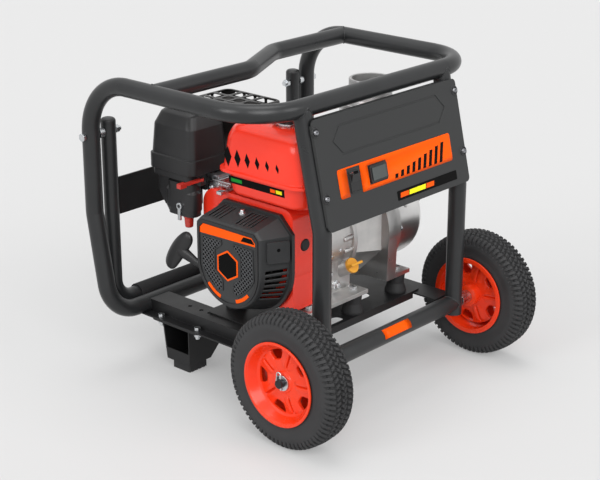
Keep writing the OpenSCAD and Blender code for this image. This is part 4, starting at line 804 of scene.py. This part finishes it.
t = np.linspace(0, 1, 20 * linkShape["turns"])
coilX, coilZ = linkShape["coil"] * onCircle(2 * np.pi * linkShape["turns"] * t).T
springLine = np.array(linkShape["springFrom"]) + np.stack([coilX, linkShape["reach"] * t, coilZ], -1)
addTube("linkSpring", wireAlong(springLine, linkShape["wire"], 8), brightZinc, "frame", "zinc", sharp=60)
rodLine = filletPath(linkShape["rod"], 8)
rodLine = np.column_stack([rodLine, np.full(len(rodLine), linkShape["rodLevel"])])
addTube("linkRod", wireAlong(rodLine, linkShape["rodRadius"], 12), brightZinc, "frame", "zinc", sharp=60)
print("small parts made")

# weld beads where one frame tube ends on another: a thin tube with a ripple, carried along the seam;
# each joint has its middle, the ending tube's direction and the other tube's axis
beadShape = {
    "tube": 16.6, "thick": 2, "ripple": 0.35, "ripples": 46, "rings": 276, "around": 10,
    "joints": {"axleLeft": ((-203, 0, axleLevel), (-1, 0, 0), (0, 0, 1)),
               "axleRight": ((203, 0, axleLevel), (1, 0, 0), (0, 0, 1)),
               "crossLeft": ((-310, 320, 605), (-1, 0, 0), (0, 1, 0)),
               "crossRight": ((310, 391, 605), (1, 0, 0), (0, 1, 0)),
               "uprightLeft": ((-203, 51.5, 605), (0, 0.228, 0.9737), (1, 0, 0)),
               "uprightRight": ((203, 51.5, 605), (0, 0.228, 0.9737), (1, 0, 0))},
}


def seamBead(centre, along, axis):
    # a line on the ending tube runs back from the joint until it lies at the other tube's radius from
    # its axis, which is a quadratic equation; rings of the bead stand across that seam
    along, axis = np.array(along, float), np.array(axis, float)
    radius = beadShape["tube"]
    t = fullTurn(beadShape["rings"])[:, None]
    out = np.cos(t) * axis + np.sin(t) * np.cross(along, axis)
    out = unit(out - along * np.sum(out * along, -1)[:, None])
    flat = radius * (out - axis * np.sum(out * axis, -1)[:, None])
    back = along - axis * (along @ axis)
    mixed = flat @ back[:, None]
    root = np.sqrt(np.maximum(mixed ** 2 - back @ back * (np.sum(flat ** 2, -1)[:, None] - radius ** 2), 0))
    path = radius * out - along * (mixed + root) / (back @ back)
    ahead = unit(np.roll(path, -1, 0) - np.roll(path, 1, 0))
    up = unit(out - ahead * np.sum(out * ahead, -1)[:, None])
    side = np.cross(ahead, up)
    thick = beadShape["thick"] + beadShape["ripple"] * np.sin(beadShape["ripples"] * t)
    turn = fullTurn(beadShape["around"])[:, None]
    rings = path[:, None] + thick[:, None] * (np.cos(turn) * up[:, None] + np.sin(turn) * side[:, None])
    return rings + np.array(centre)


for name, joint in beadShape["joints"].items():
    addGrid(f"{name}Weld", seamBead(*joint), closed, charcoalPowder, "frame", "frame_paint", sharp=60)
print("welds made")

# port flanges: a turned flange and spigot, with a pipe thread cut in as a triangle wave that climbs
# one pitch per turn
portShape = {
    "bore": 38, "flange": 62, "flangeHeight": 12, "spigot": 43.95, "height": 58, "soft": 1, "around": 128,
    "thread": {"from": 17, "to": 57, "pitch": 2.309, "deep": 1.4, "rows": 200, "runIn": 2, "runOut": 1.5,
               "past": 1},
    "at": {"suction_flange": ((229, 192, 315), 0), "discharge_flange": ((161, 192, 513), 2)},
}
thread = portShape["thread"]
lowPart = filletPath([(portShape["bore"], 0, 0), (portShape["flange"], 0, portShape["soft"]),
                      (portShape["flange"], portShape["flangeHeight"], portShape["soft"]),
                      (portShape["spigot"], portShape["flangeHeight"], portShape["soft"]),
                      (portShape["spigot"], thread["from"], 0)], 4)
climb = np.linspace(thread["from"], thread["to"], thread["rows"])[1:]
highPart = np.stack([np.full_like(climb, portShape["spigot"]), climb], -1)
portPath = np.concatenate([lowPart, highPart, [(portShape["spigot"] - portShape["soft"], portShape["height"]),
                                               (portShape["bore"], portShape["height"])]])
turn = fullTurn(portShape["around"])[None]
radial, level = portPath[:, :1], portPath[:, 1:]
# the thread runs out softly at both ends
runIn = np.clip((level - thread["from"]) / thread["runIn"], 0, 1) * (level > thread["from"])
runOut = np.clip((thread["to"] + thread["past"] - level) / thread["runOut"], 0, 1)
tooth = np.abs(2 * ((level / thread["pitch"] - turn / (2 * np.pi)) % 1) - 1)
cutRadius = radial - thread["deep"] * tooth * runIn * runOut
for name, (base, axis) in portShape["at"].items():
    port = [cutRadius * np.cos(turn), cutRadius * np.sin(turn)]
    port.insert(axis, np.broadcast_to(level, cutRadius.shape))
    addGrid(name + "Thread", np.stack(port, -1) + np.array(base), closed, portAlloy, "frame", "cast_alloy",
            [name], sharp=35)
print("ports made")

# tyres: a closed profile turned round the axle, with the tread cut into the crown by depth;
# each row of blocks has its limits across, its shift round the tyre and its lean
tyreShape = {
    "radius": 130,
    "middle": 287.5,
    "lugs": 72,
    "depth": 5,
    "sideCut": 3.4,
    "around": 1152,
    "rings": 80,
    "halfProfile": [(-26, 75.4, 0), (-31, 76, 3), (-33, 85, 3), (-31.6, 88, 2), (-33.6, 100, 8),
                    (-34.4, 104, 1), (-34.4, 106, 1), (-33.6, 108, 4), (-33, 119, 10), (-25, 128.2, 12)],
    "crown": (0, 130, 80),
    "rows": [(20, 40, 0, 0.2), (8, 20, 0.5, -0.5), (-1, 8, 0.1, 0.6)],
    "crossHalf": 2.2,
    "sideShift": 0.25,
    "zigzags": (7.0, 19.0),
    "zigzagHalf": 1.2,
    "zigzagHigh": 1.5,
    "treadFrom": 112,
    "treadShare": 2.6,
    "crownFrom": 119.5,
    "shoulderFrom": 111,
    "shoulderPast": 25,
    "fade": 3,
    "sideFade": 5,
}
mirrored = [(-across, radius, soft) for across, radius, soft in tyreShape["halfProfile"][::-1]]
outline = filletPath(tyreShape["halfProfile"] + [tyreShape["crown"]] + mirrored, 9)
steps = np.concatenate([[0], np.cumsum(np.linalg.norm(np.diff(outline, axis=0), axis=1))])
# the tread gets most of the rings
onTread = outline[1:, 1] > tyreShape["treadFrom"]
weight = np.cumsum(np.where(onTread, tyreShape["treadShare"], 1.0) * np.diff(steps))
fine = np.interp(np.linspace(0, weight[-1], tyreShape["rings"]), np.concatenate([[0], weight]), steps)
acrossTyre = np.interp(fine, steps, outline[:, 0])[:, None]
radiusTyre = np.interp(fine, steps, outline[:, 1])[:, None]
turnTyre = fullTurn(tyreShape["around"])[None]


grooveWall = 0.7


def groove(distance, width):
    # 1 inside a groove of that half width, 0 outside, with steep soft walls
    return np.clip((width - np.abs(distance)) / grooveWall + 0.5, 0, 1)


arc = 2 * np.pi * tyreShape["radius"] / tyreShape["lugs"]
run = turnTyre * tyreShape["radius"]
side = np.sign(acrossTyre)
wide = np.abs(acrossTyre)
# slanted cross grooves for each of three rows of blocks, and zigzag grooves between the rows
cut = np.zeros(np.broadcast_shapes(acrossTyre.shape, run.shape))
for low, high, shift, lean in tyreShape["rows"]:
    within = (wide >= low) & (wide < high)
    phase = (run + shift * arc + side * arc * tyreShape["sideShift"] + lean * wide) % arc - arc / 2
    cut = np.maximum(cut, groove(phase, tyreShape["crossHalf"]) * within)
zig = tyreShape["zigzagHigh"] * np.abs((2 * run / arc) % 2 - 1)
for ring in tyreShape["zigzags"]:
    cut = np.maximum(cut, groove(wide - ring - zig, tyreShape["zigzagHalf"]))
shoulder = np.clip((radiusTyre - tyreShape["crownFrom"]) / tyreShape["fade"], 0, 1)
radiusCut = radiusTyre - tyreShape["depth"] * cut * shoulder
# the outer grooves also run down the shoulder, sunk inwards there
lowShoulder = np.clip((radiusTyre - tyreShape["shoulderFrom"]) / tyreShape["fade"], 0, 1)
lowShoulder = lowShoulder * np.clip((wide - tyreShape["shoulderPast"]) / tyreShape["sideFade"], 0, 1)
acrossCut = acrossTyre - side * tyreShape["sideCut"] * cut * lowShoulder
wheelSides = {"wheel_left": -1, "wheel_right": 1}
for body, sign in wheelSides.items():
    tyre = np.stack([sign * tyreShape["middle"] + acrossCut, radiusCut * np.cos(turnTyre),
                     axleLevel + radiusCut * np.sin(turnTyre)], -1)
    nodeName = body.replace("wheel", "tyre")
    addGrid(nodeName + "Tread", tyre, closed, tyreRubber, body, "tyre_rubber", [nodeName], sharp=35)
print("tyres made")

# rims: a turned barrel with lips and a dished ring, a hub, and five sectors of disc on both sides, each woven
# round its window; the sector border runs along the middle of the spokes, where a slot is sunk
wheelShape = {
    "barrel": [(62, 15.5, 0), (66, 19, 6), (74, 35, 4), (76.5, 38, 1.5), (81, 38, 1.2), (81, 34.4, 1.2),
               (75, 34, 1), (75, -34, 1), (81, -34.4, 1.2), (81, -38, 1.2), (71, -38, 1),
               (71, 22, 6), (62, 11, 0)],
    "hub": [(12.3, 21, 0), (19, 21, 1), (22, 17.5, 1), (22, -37.7, 1), (12.3, -37.7, 0)],
    "discRadius": (20, 64),
    "window": {"middle": 52.5, "deep": 9.5, "wide": (9, 18), "round": 0.14},
    "weave": [0, 0.04, 0.1, 0.25, 0.45, 0.65, 0.8, 0.86, 0.9, 0.925, 0.95, 0.975, 1.0],
    "crest": ([18, 26, 44, 58, 64], [19, 18, 17, 15.6, 15.4]),
    "slot": {"from": 28, "to": 61, "half": 1.6, "deep": 3.4},
    "rib": {"off": 6, "half": 6, "high": 2.4},
    "windowDrop": 1.6,
    "windowEdge": 0.1,
    "slotSoft": 3,
    "thick": 7,
    "spokes": 5,
    "around": (120, 60),
    "turned": -0.07,
}
edge = np.linspace(-1, 1, 24, endpoint=False)
one = np.ones_like(edge)
squareU = np.concatenate([edge, one, -edge, -one])
squareV = np.concatenate([-one, edge, one, -edge])
window = wheelShape["window"]
# a square loop with its corners drawn in gives the window, the same loop in polar terms gives the
# sector border
softU = squareU * (1 - window["round"] * squareV ** 2)
softV = squareV * (1 - window["round"] * squareU ** 2)
windowSide = softU * np.interp(softV, [-1, 1], window["wide"])
inner = np.stack([window["middle"] + window["deep"] * softV, windowSide], -1)
low, high = wheelShape["discRadius"]
borderR = (low + high) / 2 + (high - low) / 2 * squareV
outer = borderR[:, None] * onCircle(np.pi / wheelShape["spokes"] * squareU)
part = np.array(wheelShape["weave"])[:, None, None]
sector = inner * (1 - part) + outer * part
sectorR = np.linalg.norm(sector, axis=-1)
offSpoke = sectorR * np.sin(np.pi / wheelShape["spokes"] - np.abs(np.arctan2(sector[..., 1], sector[..., 0])))
slot = wheelShape["slot"]
soft = wheelShape["slotSoft"]
onSpoke = np.clip((sectorR - slot["from"]) / soft, 0, 1) * np.clip((slot["to"] - sectorR) / soft, 0, 1)
sunk = groove(offSpoke, slot["half"]) * onSpoke
rib = wheelShape["rib"]
raised = np.clip(1 - ((offSpoke - rib["off"]) / rib["half"]) ** 2, 0, 1) * onSpoke
rounded = np.clip(1 - part[..., 0] / wheelShape["windowEdge"], 0, 1) ** 2
crest = np.interp(sectorR, *wheelShape["crest"])
front = crest + rib["high"] * raised - slot["deep"] * sunk - wheelShape["windowDrop"] * rounded
back = crest - wheelShape["thick"]
for body, sign in wheelSides.items():
    def onWheel(a, b, c):
        # a and b lie in the wheel's plane, c runs outwards along the axle
        return np.stack([sign * (tyreShape["middle"] + c), a, axleLevel + b], -1)
    rimLook = (orangeEnamel, body, "rim_paint")
    nodeName = body.replace("wheel", "rim")
    barrelAround, hubAround = wheelShape["around"]
    barrel = revolve(filletPath(wheelShape["barrel"], 5), barrelAround, onWheel)
    addGrid(nodeName + "Barrel", barrel, closed, *rimLook, [nodeName])
    addGrid(nodeName + "Hub", revolve(filletPath(wheelShape["hub"], 4), hubAround, onWheel), closed, *rimLook)
    for i in range(wheelShape["spokes"]):
        turn = 2 * np.pi * i / wheelShape["spokes"] + wheelShape["turned"]
        flatA = sector[..., 0] * np.cos(turn) - sector[..., 1] * np.sin(turn)
        flatB = sector[..., 0] * np.sin(turn) + sector[..., 1] * np.cos(turn)
        for label, flip in [("Disc", 1), ("InnerDisc", -1)]:
            near, far = [onWheel(flatA, flatB, flip * height) for height in (front, back)]
            disc = np.concatenate([near[::-1], far])
            addGrid(f"{nodeName}{label}{i}", disc, closed, *rimLook, sharp=50)
print("rims made")

# control panel prints: thin sheets on the leaning face
panelShape = {"pivot": 385, "lean": 13.18, "face": 25}


def onPanel(x, off, up):
    # panel coordinates: x across, off out of the face, up along the leaning face
    tilt = np.radians(panelShape["lean"])
    y = -panelShape["face"] - np.asarray(off, float)
    return np.stack(np.broadcast_arrays(x, y * np.cos(tilt) + up * np.sin(tilt),
                                        panelShape["pivot"] - y * np.sin(tilt) + up * np.cos(tilt)), -1)


def panelSlab(name, corners, lift, finish, slot="grey_plastic"):
    # an outline in panel coordinates, drawn out from low to high above the face
    spots = np.asarray(corners, float)
    addSlab(name, [onPanel(spots[:, 0], off, spots[:, 1]) for off in lift], finish, slot)


# overlay: a grid of cells on the face, with the cells at the switch and the meter left open
overlayShape = {"x": (-166, 166), "up": (51, 105), "corner": 5, "thick": 0.5,
                "openings": [(-141, -105, 49, 102), (-83, -31, 59.5, 95.5)]}


def overlaySheet(name, shape, finish):
    # every line of the grid runs along an edge of an opening or a corner; a corner's end lines are pulled in
    # by the circle's sagitta, so that the outline is round
    r = shape["corner"]
    t = np.linspace(0, 1, 6)
    edges = np.array(shape["openings"])
    xs = np.unique(np.concatenate([edges[:, 0], edges[:, 1], shape["x"][0] + r * t, shape["x"][1] - r * t]))
    ys = np.unique(np.concatenate([edges[:, 2], edges[:, 3], shape["up"]]).clip(*shape["up"]))
    gridX, gridY = np.meshgrid(xs, ys, indexing="ij")
    near = np.clip(np.maximum(shape["x"][0] + r - gridX, gridX - shape["x"][1] + r), 0, r)
    pull = r - np.sqrt(r ** 2 - near ** 2)
    middle = (shape["up"][0] + shape["up"][1]) / 2
    half = (shape["up"][1] - shape["up"][0]) / 2
    gridY = middle + (gridY - middle) * (half - pull) / half
    cells = gridCells(*gridX.shape)
    midX = (xs[:-1] + xs[1:])[:, None] / 2
    midY = (ys[:-1] + ys[1:])[None] / 2
    keep = np.ones(cells.shape[:2], bool)
    for x0, x1, y0, y1 in shape["openings"]:
        keep &= ~((midX > x0) & (midX < x1) & (midY > y0) & (midY < y1))
    points = onPanel(gridX, shape["thick"], gridY)
    addWall(addPiece(name, points, cells[keep].tolist(), finish, "frame", "grey_plastic"), shape["thick"])


overlaySheet("panelOverlay", overlayShape, orangeFilm)
# generic print on the overlay: leaning bars that grow towards the right
barShape = {"from": -12, "step": 17, "count": 9, "wide": 9, "base": 55, "first": 8, "rise": 3.6,
            "lean": 13 / 40, "lift": (0.6, 1.0)}
for i in range(barShape["count"]):
    left, base = barShape["from"] + i * barShape["step"], barShape["base"]
    right = left + barShape["wide"]
    top = base + barShape["first"] + i * barShape["rise"]
    slant = barShape["lean"] * (top - base)
    panelSlab(f"overlayBar{i}", [(left, base), (right, base), (right + slant, top), (left + slant, top)],
              barShape["lift"], blackPrintAndShadeFilm)
# plain strip below it with three colour blocks, and the meter's window
stripShape = {"limits": (-12, 171, 12, 30), "corner": 2, "lift": (0.05, 0.6), "blockUp": (16.5, 25.5),
              "blockLean": 2.5, "blockLift": (0.6, 0.9),
              "blocks": [(-5, 19, orangeFilm), (21, 71, yellowFilm), (73, 97, orangeFilm)]}
panelSlab("lowerStrip", softCorners(*stripShape["limits"], stripShape["corner"]), stripShape["lift"],
          blackPrintAndShadeFilm)
for i, (x0, x1, film) in enumerate(stripShape["blocks"]):
    (low, high), lean = stripShape["blockUp"], stripShape["blockLean"]
    panelSlab(f"stripBlock{i}", [(x0, low), (x1, low), (x1 + lean, high), (x0 + lean, high)],
              stripShape["blockLift"], film)
meterShape = {"limits": (-77, -37, 65.5, 89.5), "corner": 2, "lift": (5.1, 5.4)}
panelSlab("meterWindow", softCorners(*meterShape["limits"], meterShape["corner"]), meterShape["lift"],
          meterGlass, "black_plastic")
# plain orange patch on the axle tube: part of a cylinder just outside it
patchShape = {"x": (-37, 44), "columns": 6, "radius": 17.9, "turn": (112, 178), "rows": 20, "thick": 0.4}
bend = onCircle(np.radians(np.linspace(*patchShape["turn"], patchShape["rows"])))
bend = bend * patchShape["radius"] + (0, axleLevel)
patch = np.stack([np.column_stack([np.full(patchShape["rows"], x), bend])
                  for x in np.linspace(*patchShape["x"], patchShape["columns"])])
addWall(addGrid("axlePatch", patch, openSheet, orangeFilm, "frame", "frame_paint"), patchShape["thick"])
# cups round the panel screws
cupShape = {"at": [(-203, 61), (-203, 181), (203, 61), (203, 181)], "around": 40,
            "profile": [(6.4, -1), (6.4, 0.9), (7, 1.3), (9.2, 1.1), (10, 0.2), (10, -1)]}
for i, (x, up) in enumerate(cupShape["at"]):
    cup = revolve(cupShape["profile"], cupShape["around"], lambda a, b, c: onPanel(x + a, c, up + b))
    addGrid(f"screwCup{i}", cup, closed, blackPlastic, "frame", "grey_plastic")
print("panel printed")

# stage and light
stageSetup = {"floor": "#d0d0d0", "floorRough": 0.9, "backdrop": "#e8e8e8", "sky": "#f4f4f4", "lift": 0.32,
              "world": 0.42, "mirrored": 0.89, "half": 30, "drop": 0.0005}


def seenDirectly(tree):
    # 1 for rays that look at the backdrop: straight, in a reflection or through glass
    ray = addNode(tree, "ShaderNodeLightPath")
    seen = addNode(tree, "ShaderNodeMath", {0: ray.outputs["Is Camera Ray"], 1: ray.outputs["Is Glossy Ray"]},
                   operation="MAXIMUM")
    return addNode(tree, "ShaderNodeMath", {0: seen.outputs[0], 1: ray.outputs["Is Transmission Ray"]},
                   operation="MAXIMUM").outputs[0]


# matt painted floor that glows a little for the rays that look at it, so that it stays pale and keeps
# the shadow
floorFinish = bpy.data.materials.new("paleStudioFloor")
floorFinish.use_nodes = True
tree = floorFinish.node_tree
paint = tree.nodes["Principled BSDF"]
paint.inputs["Base Color"].default_value = hexTone(stageSetup["floor"])
paint.inputs["Roughness"].default_value = stageSetup["floorRough"]
paint.inputs["Specular IOR Level"].default_value = 0.0
glow = addNode(tree, "ShaderNodeEmission", {"Color": hexTone(stageSetup["backdrop"]), "Strength": 1.0})
share = addNode(tree, "ShaderNodeMath", {0: seenDirectly(tree), 1: stageSetup["lift"]}, operation="MULTIPLY")
blendShader = addNode(tree, "ShaderNodeMixShader",
                      {0: share.outputs[0], 1: paint.outputs[0], 2: glow.outputs[0]})
tree.links.new(blendShader.outputs[0], tree.nodes["Material Output"].inputs["Surface"])
half, drop = stageSetup["half"], stageSetup["drop"]
floorMesh = bpy.data.meshes.new("studioFloor")
corners = [(-half, -half, -drop), (half, -half, -drop), (half, half, -drop), (-half, half, -drop)]
floorMesh.from_pydata(corners, [], [(0, 1, 2, 3)])
floorMesh.materials.append(floorFinish)
floor = bpy.data.objects.new("studioFloor", floorMesh)
bpy.context.scene.collection.objects.link(floor)

world = bpy.data.worlds.new("studioWorld")
bpy.context.scene.world = world
world.use_nodes = True
tree = world.node_tree
sky = tree.nodes["Background"]
sky.inputs["Color"].default_value = hexTone(stageSetup["sky"])
skyLevel = addNode(tree, "ShaderNodeMapRange", {"Value": seenDirectly(tree), "To Min": stageSetup["world"],
                                                "To Max": stageSetup["mirrored"]})
tree.links.new(skyLevel.outputs[0], sky.inputs["Strength"])

# each sun aims at the middle of the object; spread is its angle across
lampAim = (0, 240, 300)
lampSetup = [
    {"name": "keySun", "at": (-1500, -1900, 2100), "spread": 0.7, "power": 1.7},
    {"name": "topSun", "at": (-500, 700, 2600), "spread": 1.2, "power": 0.65},
    {"name": "leftSun", "at": (-2300, 700, 1500), "spread": 0.5, "power": 0.95},
    {"name": "rightSun", "at": (900, -2300, 1700), "spread": 0.5, "power": 0.6},
    {"name": "ridgeSun", "at": (300, 300, 2600), "spread": 0.6, "power": 0.72},
]
for lamp in lampSetup:
    light = bpy.data.lights.new(lamp["name"], "SUN")
    light.angle = lamp["spread"]
    light.energy = lamp["power"]
    holder = bpy.data.objects.new(lamp["name"], light)
    bpy.context.scene.collection.objects.link(holder)
    holder.location = toRow(lamp["at"])
    holder.rotation_euler = (Vector(toRow(lampAim)) - holder.location).to_track_quat("-Z", "Y").to_euler()
print("stage lit")
